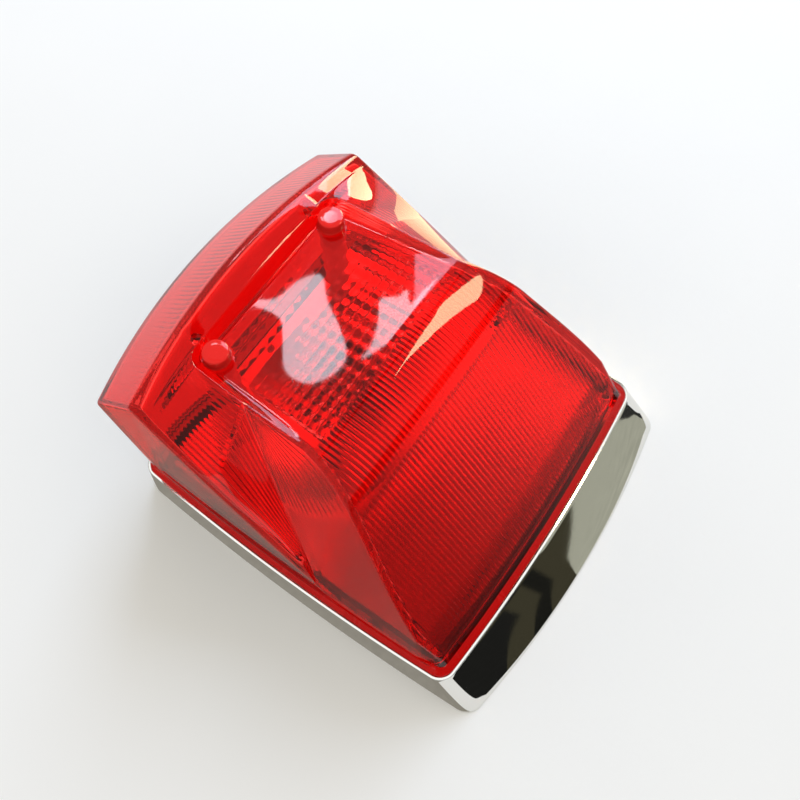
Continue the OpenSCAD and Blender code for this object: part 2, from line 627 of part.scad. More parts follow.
module bulb_pins() {
    color([0.8, 0.7, 0.4]) on_bulb_axis() for (side = [0, 180]) rotate([0, 0, side])
        translate([cap_r - cap_wall, 0, pin_z]) rotate([0, 90, 0]) cylinder(r = pin_r, h = cap_wall + pin_out);
}
module bulb_contacts() {
    color([0.75, 0.75, 0.75]) on_bulb_axis() for (s = [-1, 1]) translate([s * button_x, 0, bulb_z])
        cylinder(r = button_r + 0.6, h = pad_h + 0.6);
}
module bulb_glass() {
    color([0.9, 0.92, 0.95, 0.4]) on_bulb_axis() rotate_extrude() difference() {
        polygon(concat([[0, glass_z]], glass_profile(0)));
        translate([0, -eps]) polygon(concat([[0, glass_z]], glass_profile(glass_wall)));
    }
}
cap_floor = 2.5;
stem_drop = 9;
lead_sunk = 6;
stem_top = ball_z - stem_drop;
lead_x = 3;
module bulb_stem() {
    color([0.85, 0.9, 0.92, 0.6]) on_bulb_axis() difference() {
        translate([0, 0, cap_z + cap_floor])
            cylinder(r = neck_r - glass_wall - 0.2, h = stem_top - cap_z - cap_floor);
        for (x = [-lead_x, 0, lead_x]) translate([x, 0, stem_top - lead_sunk])
            cylinder(r = lead_r + 0.05, h = lead_sunk * 2);
    }
}
lead_r = 0.4;
stop_rise = 1;
tail_drop = 4;
stop_z = ball_z + stop_rise;
tail_z = ball_z - tail_drop;
module lead_wires() {
    color([0.6, 0.6, 0.6]) on_bulb_axis() for (x = [-lead_x, 0, lead_x]) translate([x, 0, stem_top - lead_sunk])
        cylinder(r = lead_r, h = (x == 0 ? tail_z : stop_z) - stem_top + lead_sunk, $fn = 24);
}
module filaments() {
    color([0.9, 0.9, 0.85]) on_bulb_axis() {
        translate([-lead_x, 0, stop_z + lead_r]) rotate([0, 90, 0])
            cylinder(r = lead_r, h = 2 * lead_x, $fn = 24);
        translate([lead_r + 0.1, 0, tail_z - lead_r]) rotate([0, 90, 0])
            cylinder(r = lead_r * 0.8, h = lead_x - 2 * lead_r - 0.2, $fn = 24);
    }
}

// Wire inlet and earth terminal
module cable_grommet() {
    lip = grommet_wall;
    lip_t = 1.6;
    lip_r = inlet_r + 1.5 * lip;
    color([0.08, 0.08, 0.08]) translate([0, inlet_far - bolt_far, 0]) difference() {
        union() {
            translate([0, 0, tray_z - lip_t]) cylinder(r = lip_r, h = lip_t);
            translate([0, 0, tray_z - eps]) cylinder(r = inlet_r + lip / 2, h = tray_t + 2 * eps);
            translate([0, 0, tray_top]) cylinder(r = lip_r, h = lip_t);
        }
        translate([0, 0, -1]) cylinder(r = inlet_r, h = plinth_h);
    }
}
tab_t = 0.8;
tab_w = 8;
tab_l = 12;
blade_w = 6.2;
blade_h = 8;
module earth_tab() {
    color([0.75, 0.75, 0.72]) translate(earth_at) difference() {
        union() {
            translate([-tab_w / 2, -tab_w / 2, tray_top]) cube([tab_w, tab_l, tab_t]);
            translate([-blade_w / 2, tab_l - tab_w / 2 - tab_t, tray_top]) cube([blade_w, tab_t, blade_h]);
        }
        cylinder(r = rivet_r + hole_gap, h = plinth_h);
    }
}
module earth_rivet() {
    color([0.7, 0.7, 0.68]) translate(earth_at) rivet(tray_z, tray_top + tab_t);
}

lens();
lens_gasket();
chrome_housing();
base_plate();
base_gasket();
rivet_nuts();
lens_screws();
lens_screw_washers();
reflector();
reflector_screws();
bulb_socket();
socket_rivets();
contact_spring();
contact_carrier();
contact_buttons();
bulb_cap();
bulb_pins();
bulb_contacts();
bulb_glass();
bulb_stem();
lead_wires();
filaments();
cable_grommet();
earth_tab();
earth_rivet();
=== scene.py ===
"""Looks for the motorcycle tail light: red ribbed lens, chrome plinth, bulb and fixings, on a white table."""
import math

import bpy
import numpy as np
from bpy.props import FloatProperty, FloatVectorProperty, IntProperty, PointerProperty
from mathutils import Matrix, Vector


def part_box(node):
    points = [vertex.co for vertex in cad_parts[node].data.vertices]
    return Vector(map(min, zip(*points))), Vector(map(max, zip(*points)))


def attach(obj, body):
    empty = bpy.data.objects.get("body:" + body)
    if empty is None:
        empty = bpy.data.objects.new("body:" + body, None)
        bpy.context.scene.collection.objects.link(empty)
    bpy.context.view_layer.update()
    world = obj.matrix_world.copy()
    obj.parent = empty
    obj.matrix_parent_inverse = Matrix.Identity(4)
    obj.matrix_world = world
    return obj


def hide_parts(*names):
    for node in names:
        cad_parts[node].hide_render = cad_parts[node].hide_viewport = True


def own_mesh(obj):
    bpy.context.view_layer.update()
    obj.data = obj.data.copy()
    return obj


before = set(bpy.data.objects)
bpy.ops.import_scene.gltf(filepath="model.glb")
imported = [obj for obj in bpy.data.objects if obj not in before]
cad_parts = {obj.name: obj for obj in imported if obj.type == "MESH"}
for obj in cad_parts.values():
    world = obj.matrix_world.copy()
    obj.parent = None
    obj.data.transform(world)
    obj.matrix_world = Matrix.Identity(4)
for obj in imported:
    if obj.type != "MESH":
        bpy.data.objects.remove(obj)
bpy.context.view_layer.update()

bl_info = {
    "name": "Tail light looks",
    "version": (1, 0, 0),
    "blender": (4, 5, 0),
    "location": "3D View > Sidebar > Tail light",
    "description": "Builds the visible pieces of a motorcycle tail light around its CAD frame",
    "category": "Object",
}

# Sizes shared with the CAD, in millimetres. Lens heights are above the rim, distances from its low edge.
MM = 0.001
BOLT_FAR = 35.0
PLINTH_H = 14.2
RIM_W, RIM_LEN, RIM_TAPER = 118.0, 121.0, 1.5
SIDE_BOW, END_BOW, CORNER_R, CORNER_LEAST = 1.9, 2.4, 6.0, 0.8
SKIRT_OUT, SKIRT_BOW, SIDE_FLARE = 12.0, 4.5, 1.5
HOUSING_WALL, RIM_LAND, SEAT_DEPTH, SEAT_W, SEAT_T = 2.2, 1.0, 2.2, 7.0, 2.2
# The skirt's slight swell, and the rounded rim as shares of its land and heights
SKIRT_SWELL = 0.12
RIM_PROFILE = ((0.05, -0.2), (0.14, -0.05), (0.2, 0), (0.24, 0), (0.86, 0), (0.9, 0), (0.96, -0.06),
               (1.0, -0.25))
FOOT_INSET, SIDE_DRAFT, FOOT_Z, FOOT_IN = 2.6, 0.06, 1.4, -1.0
FACE_H, FACE_FAR, FACE_NEAR = 58.5, 105.5, 62.0
FACE_HALF_FAR, FACE_HALF_NEAR, BEND_R = 33.0, 36.0, 27.0
RECESS_D, RECESS_SLOPE, RECESS_ROUND = 4.2, 2.4, 5.0
SHOULDER_FAR, HOOD_NEAR, HOOD_NEAR_H = 84.0, 48.5, 12.0
HOOD_FAR, HOOD_FAR_H, HOOD_CROWN, HOOD_BOW = 109.5, 54.4, 7.9, 3.4
NOSE_FAR, NOSE_H, NOSE_BOW, NOSE_CROWN, NOSE_HALF = 126.9, 40.0, 7.0, 2.4, 54.0
POST_X, POST_FAR, POST_R = 26.7, 99.7, 4.0
POST_FOOT, SCREW_R, SCREW_TOP, AXIS_R = -8.0, 2.1, 8.0, 0.02
CREASE, PILLOW_NEAR, HOOD_RIB_FAR = 43.6, 60.5, 93.0
PILLOW_FADE_NEAR, PILLOW_FADE_FAR, PILLOW_FADE = 68.0, 90.0, 0.92
# How far the line where the side facet's ribs stop climbs across it, and the widths over which ribs are spread
FACET_BREAK, FACET_RIB_W, HOOD_RIB_W = 21.4, 22.0, 21.0
SPRING_WIRE_R, SPRING_STEPS, SPRING_SIDES = 0.4, 28, 12
PANEL_Y0 = FOOT_INSET - END_BOW
BEND_RISE, BEND_RUN = FACE_H - BEND_R - FOOT_Z, FACE_NEAR - PANEL_Y0
PANEL_A = math.atan2(BEND_RISE, BEND_RUN) + math.asin(BEND_R / math.hypot(BEND_RUN, BEND_RISE))
BEND_Y = FACE_NEAR - BEND_R * math.sin(PANEL_A)
BEND_Z = FACE_H - BEND_R * (1 - math.cos(PANEL_A))
BASE_Y = RIM_LEN - FOOT_INSET

# Rows of the lens's grid from the low foot over the top to the far foot, and where the first full row lies
FOOT_ROWS, PANEL_ROWS, BEND_ROWS, FACE_ROWS, RECESS_ROWS = 10, 34, 30, 140, 10
RIDGE_ROWS, EDGE_ROWS, FACET_ROWS, NOSE_ROWS, BACK_ROWS = 8, 9, 30, 9, 16
FIRST_ROW = 12.0
# Columns across half a row of the outer skin, and of the inner one after its floor; rounding of the edges
OUTER_COLUMNS, INNER_COLUMNS = (30, 5, 14, 18, 12), (5, 44, 60, 16)
OUTER_ROUND, INNER_ROUND, CORNER_STEPS = 1.1, 0.8, 4
# Kinds of row, and bands across a row
FOOT, TOP, EDGE, END, BACK = range(5)
FLOOR, RIM, FACET, HOOD, WALL = range(5)

# Sockets of Blender's Mix node: its two colours and their result, and its two values
MIX_COLOURS, MIX_COLOUR_OUT, MIX_VALUES = (6, 7), 2, (2, 3)
ACRYLIC_IOR, GLASS_IOR = 1.49, 1.5
# Finishes: colour, tint of worn places, roughness and its spread, scale of the marks, grain
FINISHES = {
    "Chrome": ((0.82, 0.82, 0.79), (0.77, 0.77, 0.73), 0.04, 0.03, 25.0, 0.01),
    "Zinc plate": ((0.56, 0.57, 0.58), (0.46, 0.46, 0.45), 0.38, 0.2, 90.0, 0.08),
    "Bright steel": ((0.62, 0.62, 0.61), (0.5, 0.5, 0.48), 0.28, 0.15, 140.0, 0.05),
    "Metallised coat": ((0.76, 0.76, 0.76), (0.7, 0.7, 0.7), 0.32, 0.08, 45.0, 0.03),
    "Nickel plate": ((0.66, 0.63, 0.57), (0.56, 0.53, 0.47), 0.25, 0.15, 110.0, 0.04),
    "Brass": ((0.72, 0.5, 0.2), (0.6, 0.4, 0.15), 0.25, 0.15, 120.0, 0.04),
    "Spring wire": ((0.5, 0.5, 0.52), (0.4, 0.4, 0.4), 0.3, 0.1, 160.0, 0.05),
    "Solder": ((0.55, 0.55, 0.56), (0.42, 0.42, 0.42), 0.4, 0.2, 150.0, 0.2),
    "Tungsten": ((0.3, 0.3, 0.32), (0.22, 0.22, 0.23), 0.4, 0.1, 150.0, 0.1),
    "Rubber": ((0.02, 0.02, 0.02), (0.035, 0.034, 0.032), 0.75, 0.2, 80.0, 0.25),
    "Gasket foam": ((0.78, 0.77, 0.75), (0.68, 0.67, 0.65), 0.9, 0.2, 160.0, 0.5),
    "Phenolic": ((0.17, 0.075, 0.03), (0.11, 0.05, 0.02), 0.45, 0.2, 80.0, 0.25),
    "White table": ((0.93, 0.93, 0.925), (0.9, 0.9, 0.9), 0.7, 0.2, 12.0, 0.05),
    "Bulb glass": ((0.97, 0.98, 0.98), (0.93, 0.95, 0.95), 0.02, 0.02, 50.0, 0.0),
}

# The stage, in metres in the CAD frame. The camera's right, up and back were found from the photo's edges.
CAMERA_TURN = ((0.5655, -0.8248, 0.0), (0.7581, 0.5198, 0.394), (-0.3249, -0.2228, 0.9191))
SENSOR_MM, CLIP_START = 36.0, 0.01
TABLE_HALF, TABLE_Z = 3.0, -0.0002
KEY_PLACE, KEY_SIZE = (0.75, 0.35, 0.75), (0.5, 0.7)
GLASS_BOUNCES, GLOSS_BOUNCES = 24, 16
BRIGHT_SIDE, BRIGHT_FROM, BRIGHT_TO = (0.7, 0.7, -0.5), -0.27, 0.02
# Cards round the set: windows, a warm wall, strips in front, a black card over the lens's front left that
# paints shade on its inside, seen only through the lens, and a veil before its sloping panel, a painted
# reflection there
SHADE_CARD_Z = 0.084
SHADE_CARD = ((-0.09, -0.09), (0.032, -0.095), (0.056, -0.083), (0.056, 0.005), (0.028, 0.023), (-0.02, 0.035),
        (-0.024, 0.065), (-0.06, 0.07), (-0.09, 0.025))
# The veil glows only in reflections, dim on the left and bright on the right: a painted reflection on the
# sloping panel
VEIL_Y, VEIL_LOW, VEIL_TOP, VEIL_HALF = -0.0485, 0.0152, 0.085, 0.5
VEIL_FROM, VEIL_TO, VEIL_DIM, VEIL_BRIGHT = -0.05, 0.055, 0.1, 0.42
WINDOW_LEFT = ((0.331, 0.772, 0.98), (0.376, 0.761, 0.973), (0.367, 0.752, 0.981), (0.391, 0.724, 0.99),
               (0.432, 0.71, 0.984), (0.459, 0.691, 0.985), (0.461, 0.679, 0.991), (0.437, 0.657, 1.011),
               (0.413, 0.619, 1.038), (0.387, 0.593, 1.058), (0.354, 0.594, 1.068), (0.315, 0.62, 1.067),
               (0.308, 0.659, 1.049), (0.348, 0.688, 1.023), (0.369, 0.707, 1.006), (0.357, 0.749, 0.986))
WINDOW_RIGHT = ((0.606, 0.502, 1.014), (0.586, 0.517, 1.017), (0.547, 0.535, 1.026), (0.512, 0.545, 1.036),
                (0.526, 0.56, 1.024), (0.509, 0.567, 1.027), (0.489, 0.589, 1.025), (0.462, 0.577, 1.04),
                (0.424, 0.568, 1.058), (0.396, 0.57, 1.066), (0.443, 0.546, 1.061), (0.477, 0.528, 1.056),
                (0.511, 0.524, 1.045), (0.554, 0.519, 1.029))
WARM_STRIP = ((0.179, -0.088, 0.312), (0.171, -0.054, 0.327), (0.161, -0.03, 0.335), (0.15, -0.009, 0.341),
              (0.14, -0.02, 0.34), (0.127, -0.025, 0.343), (0.113, -0.035, 0.345), (0.097, -0.052, 0.345),
              (0.11, -0.048, 0.343), (0.122, -0.064, 0.336), (0.136, -0.084, 0.325), (0.146, -0.102, 0.315),
              (0.157, -0.128, 0.297), (0.169, -0.154, 0.275))
WARM_WALL = ((0.83, -0.02, 0.97), (1.04, 0.0, 0.72), (1.2, 0.04, 0.28), (1.2, 0.28, 0.09),
             (1.12, 0.41, 0.42), (0.94, 0.36, 0.8))
WARM_FLOOR = ((0.115, 0.02), (0.21, 0.02), (0.24, 0.1), (0.14, 0.1))
SHADE_LEFT = ((-0.3, -0.03), (-0.058, -0.045), (-0.058, 0.1), (-0.05, 0.15), (-0.3, 0.12))
RIM_SKY = ((0.04, -0.05), (0.72, -0.05), (0.72, -0.008), (0.09, -0.008), (0.09, 0.62), (0.04, 0.62))
RIM_SKY_Z = 1.2
FLOOR_Z = 0.0004
FRONT_NEAR, FRONT_FAR, FRONT_H = -0.0522, -2.0, 1.2
# Edges between the strips: place at the lamp, slope away from it on the table, slope at the top of the far wall
FRONT_EDGES = ((-0.052, -0.3, -1.1), (-0.042, 0.16, 0.16), (-0.028, 0.21, 0.21), (-0.018, 0.245, 0.25),
               (-0.003, 0.3, 1.6), (0.066, 0.5, 2.0), (0.07, 0.56, 2.1))
FRONT_COLOURS = ((0.013, 0.013, 0.012), (0.05, 0.045, 0.028), (0.012, 0.012, 0.01), (0.05, 0.045, 0.028),
                 (0.42, 0.42, 0.345), (0.03, 0.03, 0.028))
# The cards' colours and levels, and how uneven they are
SKY_GLOW, WARM_GLOW = ((0.88, 0.9, 1.0), 11.0, 0.1), ((1.0, 0.8, 0.48), 16.0, 0.1)
FLOOR_GLOW, SHADE_GLOW = ((1.0, 0.82, 0.52), 4.0, 0.1), ((1.0, 0.93, 0.8), 0.3, 0.15)
RIM_GLOW, DARK, VEIL_COLOUR = ((1.0, 1.0, 1.0), 1.25), ((0.0, 0.0, 0.0), 0.0), (1.0, 0.97, 0.9)
FRONT_GLOW = (1.0, 0.3, 300.0)


# Mesh helpers
def to_frame(points):
    """Rim millimetres to the CAD frame's metres."""
    return (np.asarray(points, float) + (0.0, -BOLT_FAR, PLINTH_H)) * MM


def new_object(name, points, faces, smooth=True):
    """A mesh object in the scene from points and faces."""
    mesh = bpy.data.meshes.new(name)
    mesh.from_pydata([tuple(p) for p in points], [], [tuple(int(i) for i in f) for f in faces])
    mesh.validate()
    mesh.polygons.foreach_set("use_smooth", [smooth] * len(mesh.polygons))
    obj = bpy.data.objects.new(name, mesh)
    bpy.context.scene.collection.objects.link(obj)
    return obj


def grid_quads(rows, cols, base=0, flip=False):
    """Quads of a grid of rows by columns."""
    k, i = np.meshgrid(np.arange(rows - 1), np.arange(cols - 1), indexing="ij")
    a = (base + k * cols + i).ravel()
    quads = np.stack([a, a + 1, a + cols + 1, a + cols], 1)
    return quads[:, ::-1] if flip else quads


def grid_border(rows, cols, base=0):
    """Border indices of a grid, counter-clockwise from its first row."""
    idx = base + np.arange(rows * cols).reshape(rows, cols)
    return np.concatenate([idx[0], idx[1:, -1], idx[-1, -2::-1], idx[-2:0:-1, 0]])


def stitch(points, loop_a, loop_b):
    """Triangles between two closed loops with different point counts, matched by length along each."""
    def along(loop):
        p = points[np.append(loop, loop[0])]
        d = np.cumsum(np.linalg.norm(np.diff(p, axis=0), axis=1))
        return np.concatenate([[0], d / d[-1]])
    sa, sb = along(loop_a), along(loop_b)
    i = j = 0
    n, m = len(loop_a), len(loop_b)
    faces = []
    while i < n or j < m:
        a, b = loop_a[i % n], loop_b[j % m]
        if j >= m or (i < n and sa[i + 1] <= sb[j + 1]):
            faces.append((a, loop_a[(i + 1) % n], b))
            i += 1
        else:
            faces.append((a, loop_b[(j + 1) % m], b))
            j += 1
    return faces


def ring_faces(rings, count, closed=False):
    """Quads between rings of points, one after the other."""
    faces = []
    for k in range(rings if closed else rings - 1):
        a, b = k * count, (k + 1) % rings * count
        faces += [(a + i, a + (i + 1) % count, b + (i + 1) % count, b + i) for i in range(count)]
    return faces


def rounded(corners, steps=6):
    """A closed smooth curve through the corners."""
    p = np.array(corners)
    before, after, later = np.roll(p, 1, 0), np.roll(p, -1, 0), np.roll(p, -2, 0)
    t = (np.arange(steps) / steps)[None, :, None]
    a, b, c, d = [q[:, None] for q in (before, p, after, later)]
    curve = 2 * b + (c - a) * t + (2 * a - 5 * b + 4 * c - d) * t ** 2 + (3 * (b - c) + d - a) * t ** 3
    return curve.reshape(-1, 3) / 2


def at_height(flat, z):
    """Flat points at a height."""
    return np.column_stack([flat, np.full(len(flat), z)])


def lerp(a, b, t):
    """The value at share t between a and b."""
    return a + (b - a) * t


def bend(a, p, b, t):
    """The point at share t of a bend from a to b with its corner at p."""
    return (1 - t) ** 2 * a + 2 * t * (1 - t) * p + t * t * b


def fade(x, low, high):
    """A smooth step from 0 at low to 1 at high."""
    t = np.clip((x - low) / (high - low), 0, 1)
    return t * t * (3 - 2 * t)


def bow(t, sag):
    """Height of a shallow bow at share t of its length."""
    return 4 * sag * t * (1 - t)


def outline(w0, w1, y0, y1, r, low_bow, arc=14, side=40):
    """The plinth's plan outline, counter-clockwise, with bowed sides and round corners."""
    def corner(cx, cy, start):
        a = np.radians(start + np.linspace(0, 90, arc + 1))
        return np.stack([cx + r * np.cos(a), cy + r * np.sin(a)], 1)

    def bowed(a, b, out, sag):
        t = np.arange(1, side + 1)[:, None] / (side + 1)
        a, b = np.array(a), np.array(b)
        return lerp(a, b, t) + np.array(out) * bow(t, sag)
    return np.concatenate([
        corner(w0 - r, y0 + r, -90), bowed((w0, y0 + r), (w1, y1 - r), (1, 0), SIDE_BOW),
        corner(w1 - r, y1 - r, 0), bowed((w1 - r, y1), (r - w1, y1), (0, 1), END_BOW),
        corner(r - w1, y1 - r, 90), bowed((-w1, y1 - r), (-w0, y0 + r), (-1, 0), SIDE_BOW),
        corner(r - w0, y0 + r, 180), bowed((r - w0, y0), (w0 - r, y0), (0, -1), low_bow)])


def rim_ring(inset, z, flare=0.0, skirt=0.0, low_bow=END_BOW):
    """The plinth's rim outline, inset and at a height."""
    half = RIM_W / 2 + flare - inset
    corner = max(CORNER_R - inset, CORNER_LEAST)
    return at_height(outline(half, half - RIM_TAPER, inset - skirt, RIM_LEN - inset, corner, low_bow), z)


def foot_ring(inset, z):
    """The plinth's foot outline with its flared skirt, inset and at a height."""
    return rim_ring(inset, z, SIDE_FLARE, SKIRT_OUT, SKIRT_BOW)


# Lens curves, the same as the CAD's
def wall_half(y):
    """Half width of the lens at its foot."""
    return RIM_W / 2 - FOOT_INSET - RIM_TAPER * y / RIM_LEN + bow(y / RIM_LEN, SIDE_BOW)


def wall_x(y, z):
    """Half width of the lens at a height: the wall leans in."""
    return wall_half(y) - SIDE_DRAFT * z


def edge_half(y):
    """Half width of the raised middle, from the panel's foot to the recess's round end."""
    u = np.clip((FACE_NEAR - y) / (FACE_NEAR - PANEL_Y0), 0, 1)
    ease = 0.65 * u * u * (3 - 2 * u) + 0.35 * np.sin(math.pi / 2 * u)
    low = FACE_HALF_NEAR + (wall_half(0.0) - 0.6 - FACE_HALF_NEAR) * ease
    top = FACE_HALF_FAR + (FACE_FAR - y) * (FACE_HALF_NEAR - FACE_HALF_FAR) / (FACE_FAR - FACE_NEAR)
    d = np.clip(y - (FACE_FAR - RECESS_ROUND), 0, RECESS_ROUND)
    return np.where(y >= FACE_NEAR, top, low) - RECESS_ROUND + np.sqrt(RECESS_ROUND ** 2 - d * d)


def panel_z(y):
    """Height of the middle: sloping panel, bend and top face."""
    arc = FACE_H - BEND_R + np.sqrt(np.maximum(BEND_R ** 2 - np.clip(FACE_NEAR - y, 0, BEND_R) ** 2, 0))
    slope = BEND_Z - (BEND_Y - y) * math.tan(PANEL_A)
    return np.where(y >= FACE_NEAR, FACE_H, np.where(y >= BEND_Y, arc, slope))


def end_share(y):
    """How far a row has climbed the recess's end wall, 0 to 1."""
    return fade(y, FACE_FAR - RECESS_SLOPE, FACE_FAR)


def recess_depth(y):
    """Depth that the recess would have with no end wall."""
    return RECESS_D * np.clip((y - FACE_NEAR) / (FACE_FAR - FACE_NEAR), 0, 1)


def floor_drop(y):
    """Depth of the recess in the top face."""
    return recess_depth(y) * (1 - end_share(y))


def hood_z(y):
    """Height of the edge between hood and wall."""
    return HOOD_NEAR_H + (HOOD_FAR_H - HOOD_NEAR_H) * (y - HOOD_NEAR) / (HOOD_FAR - HOOD_NEAR)


def valley(y):
    """Width and height of the valley between the raised middle and the hood."""
    t = np.clip((SHOULDER_FAR - y) / (SHOULDER_FAR - HOOD_NEAR), 0, 1)
    x0 = edge_half(np.array(SHOULDER_FAR)) + 0.4
    x1 = wall_x(HOOD_NEAR, HOOD_NEAR_H)
    low_z = np.maximum(HOOD_NEAR_H - (HOOD_NEAR - y) * (HOOD_NEAR_H - FOOT_Z) / 10, FOOT_Z + 1.2)
    low_z = np.minimum(low_z, lerp(FOOT_Z, panel_z(y), 0.6))
    sunk_z = lerp(FACE_H - 0.4, HOOD_NEAR_H, t)
    x = np.where(y >= HOOD_NEAR, lerp(x0, x1, t), wall_x(y, low_z))
    z = np.where(y >= HOOD_NEAR, sunk_z, low_z)
    past = y >= SHOULDER_FAR
    return np.where(past, edge_half(y) + 0.4, x), np.where(past, panel_z(y) - 0.4, z)


def foot_z(o):
    """Height of the foot of the outer skin, or of a skin inside it."""
    return FOOT_IN if o > 0 else FOOT_Z


def panel_keys(y, o):
    """Key points of half rows, from the centre line to the wall's foot, at o inside the skin."""
    y = np.asarray(y, float)
    radius = np.sqrt(np.maximum(BEND_R ** 2 - np.clip(FACE_NEAR - y, 0, BEND_R * 0.99) ** 2, 1))
    steep = np.where(y < BEND_Y, 1 / math.cos(PANEL_A), np.where(y < FACE_NEAR, BEND_R / radius, 1.0))
    z = panel_z(y) - o * steep
    e = edge_half(y) - 0.9 * o
    vx, vz = valley(y)
    hood = y >= HOOD_NEAR
    sz = np.where(hood, hood_z(y), lerp(FOOT_Z, vz, 0.5))
    sx = wall_x(y, sz)
    drop = floor_drop(y)
    climbed = end_share(y)
    sunk = np.where(o > 0, recess_depth(y) * (1 - 0.5 * climbed), 0.0)
    under = o * np.clip((y - HOOD_NEAR) / 9 + 1, 0, 1)
    past = y >= SHOULDER_FAR
    viz = np.where(hood, vz - 0.8 * o, np.minimum(vz - 0.8 * under, z - 0.4))
    viz = np.where(past, vz - 0.8 * o - sunk, viz)
    vix = np.where(past, vx - 0.3 * o, vx - o)
    six = sx - o
    siz = np.where(hood, sz - 0.6 * o, np.minimum(sz - 0.6 * under, viz - 0.3))
    w = np.minimum(RECESS_SLOPE, e / 3)
    sag = np.where(y < BEND_Y, END_BOW * (BEND_Y - y) / (BEND_Y - PANEL_Y0), 0.0)
    ridge = 0.9 * climbed
    yy = y + 0.6 * o * climbed

    def at(x, depth, crown=0.0):
        return np.stack([x, yy + sag * (x / e) ** 2, z - depth + crown * (1 - (x / e) ** 2)], -1)
    zero = np.zeros_like(y)
    valley_p = np.stack([vix, y, viz], -1)
    side_p = np.stack([six, y, siz], -1)
    middle = (valley_p + side_p) / 2 + (0, 0, 1.2)
    foot = np.stack([wall_x(y, FOOT_Z) - o, y, np.full_like(y, foot_z(o))], -1)
    return np.stack([at(zero, drop, ridge), at((e - w) / 2, drop, ridge), at(e - w, drop, ridge),
                     at(e, np.where(o > 0, sunk, 0.0)), valley_p, middle, side_p, foot], 1)


def foot_keys(o):
    """Key points of the half row along the low foot."""
    h = wall_half(0.0) - o
    y = PANEL_Y0 + (o / math.sin(PANEL_A) + 0.6 if o > 0 else 0)
    b = END_BOW
    flat = ((0, y), (h * 0.45, y + b * 0.2), (h * 0.8, y + b * 0.62), (h - 3.4, y + b * 0.88),
            (h - 1.9, y + b * 0.95 + 0.3), (h - 0.8, y + b + 1), (h - 0.2, y + b + 2), (h, y + b + 3.4))
    return at_height(flat, foot_z(o))


def end_keys(half, far, sag, z, crown, share, o):
    """Key points of a half row across the nose end."""
    foot_y = lerp(FACE_FAR, BASE_Y - 2 - o, share)
    t = np.array([0, 0.24, 0.48, 0.53, 0.545, 0.7725, 1.0])
    p = np.stack([t * half, far + sag * (1 - t * t), z + crown * (1 - t * t)], 1)
    return np.vstack([p, [wall_x(foot_y, FOOT_Z) - o, foot_y, foot_z(o)]])


def turned(a, p, b, reach, n):
    """Rows that round off the corner at p on the way from a to b."""
    la = np.linalg.norm(a - p, axis=-1, keepdims=True) + 1e-9
    lb = np.linalg.norm(b - p, axis=-1, keepdims=True) + 1e-9
    q = p + (a - p) * np.minimum(reach / la, 0.45)
    r = p + (b - p) * np.minimum(reach / lb, 0.45)
    t = np.linspace(0, 1, n).reshape(-1, *([1] * p.ndim))
    return bend(q, p, r, t)


def between(a, b, n):
    """Rows evenly between a and b, without these two."""
    return lerp(a, b, np.linspace(0, 1, n + 2)[1:-1].reshape(-1, *([1] * np.ndim(a))))


def key_rows(o):
    """All key rows from the low foot over the top to the far foot, with a kind and place for each.

    A row's place is its distance from the low edge, or on the end facet its share of the way down.
    """
    first = panel_keys(np.array([FIRST_ROW]), o)[0]
    start = foot_keys(o)
    rows = [np.concatenate([[start], between(start, first, FOOT_ROWS - 1)])]
    recess_end = FACE_FAR - RECESS_SLOPE
    ys = np.concatenate([np.linspace(FIRST_ROW, BEND_Y, PANEL_ROWS, endpoint=False),
                         FACE_NEAR - BEND_R * np.sin(np.linspace(PANEL_A, 0, BEND_ROWS, endpoint=False)),
                         np.linspace(FACE_NEAR, recess_end, FACE_ROWS, endpoint=False),
                         np.linspace(recess_end, FACE_FAR, RECESS_ROWS)])
    rows.append(panel_keys(ys, o))
    ridge = rows[-1][-1]
    edge = end_keys(wall_x(HOOD_FAR, HOOD_FAR_H) - o, HOOD_FAR - 0.5 * o, HOOD_BOW, HOOD_FAR_H - 0.9 * o,
                    HOOD_CROWN, 0.35, o)
    nose = end_keys(NOSE_HALF - o, NOSE_FAR - o, NOSE_BOW, NOSE_H - 0.45 * o, NOSE_CROWN, 0.7, o)
    base = end_keys(wall_x(BASE_Y, FOOT_Z) - 1.6 - o, BASE_Y - o, END_BOW, foot_z(o), 0, 1, o)
    at_edge = turned(ridge, edge, nose, 2.4, EDGE_ROWS)
    at_nose = turned(edge, nose, base, 2.0, NOSE_ROWS)
    rows += [between(ridge, at_edge[0], RIDGE_ROWS), at_edge, between(at_edge[-1], at_nose[0], FACET_ROWS),
             at_nose, between(at_nose[-1], base, BACK_ROWS), base[None]]
    edge_count, back_count = RIDGE_ROWS + EDGE_ROWS, NOSE_ROWS + BACK_ROWS + 1
    kinds = np.repeat([FOOT, TOP, EDGE, END, BACK], [FOOT_ROWS, len(ys), edge_count, FACET_ROWS, back_count])
    places = np.concatenate([np.linspace(PANEL_Y0, FIRST_ROW, FOOT_ROWS, endpoint=False), ys,
                             [FACE_FAR] * edge_count, np.linspace(0, 1, FACET_ROWS), [FACE_FAR] * back_count])
    return np.concatenate(rows), kinds, places


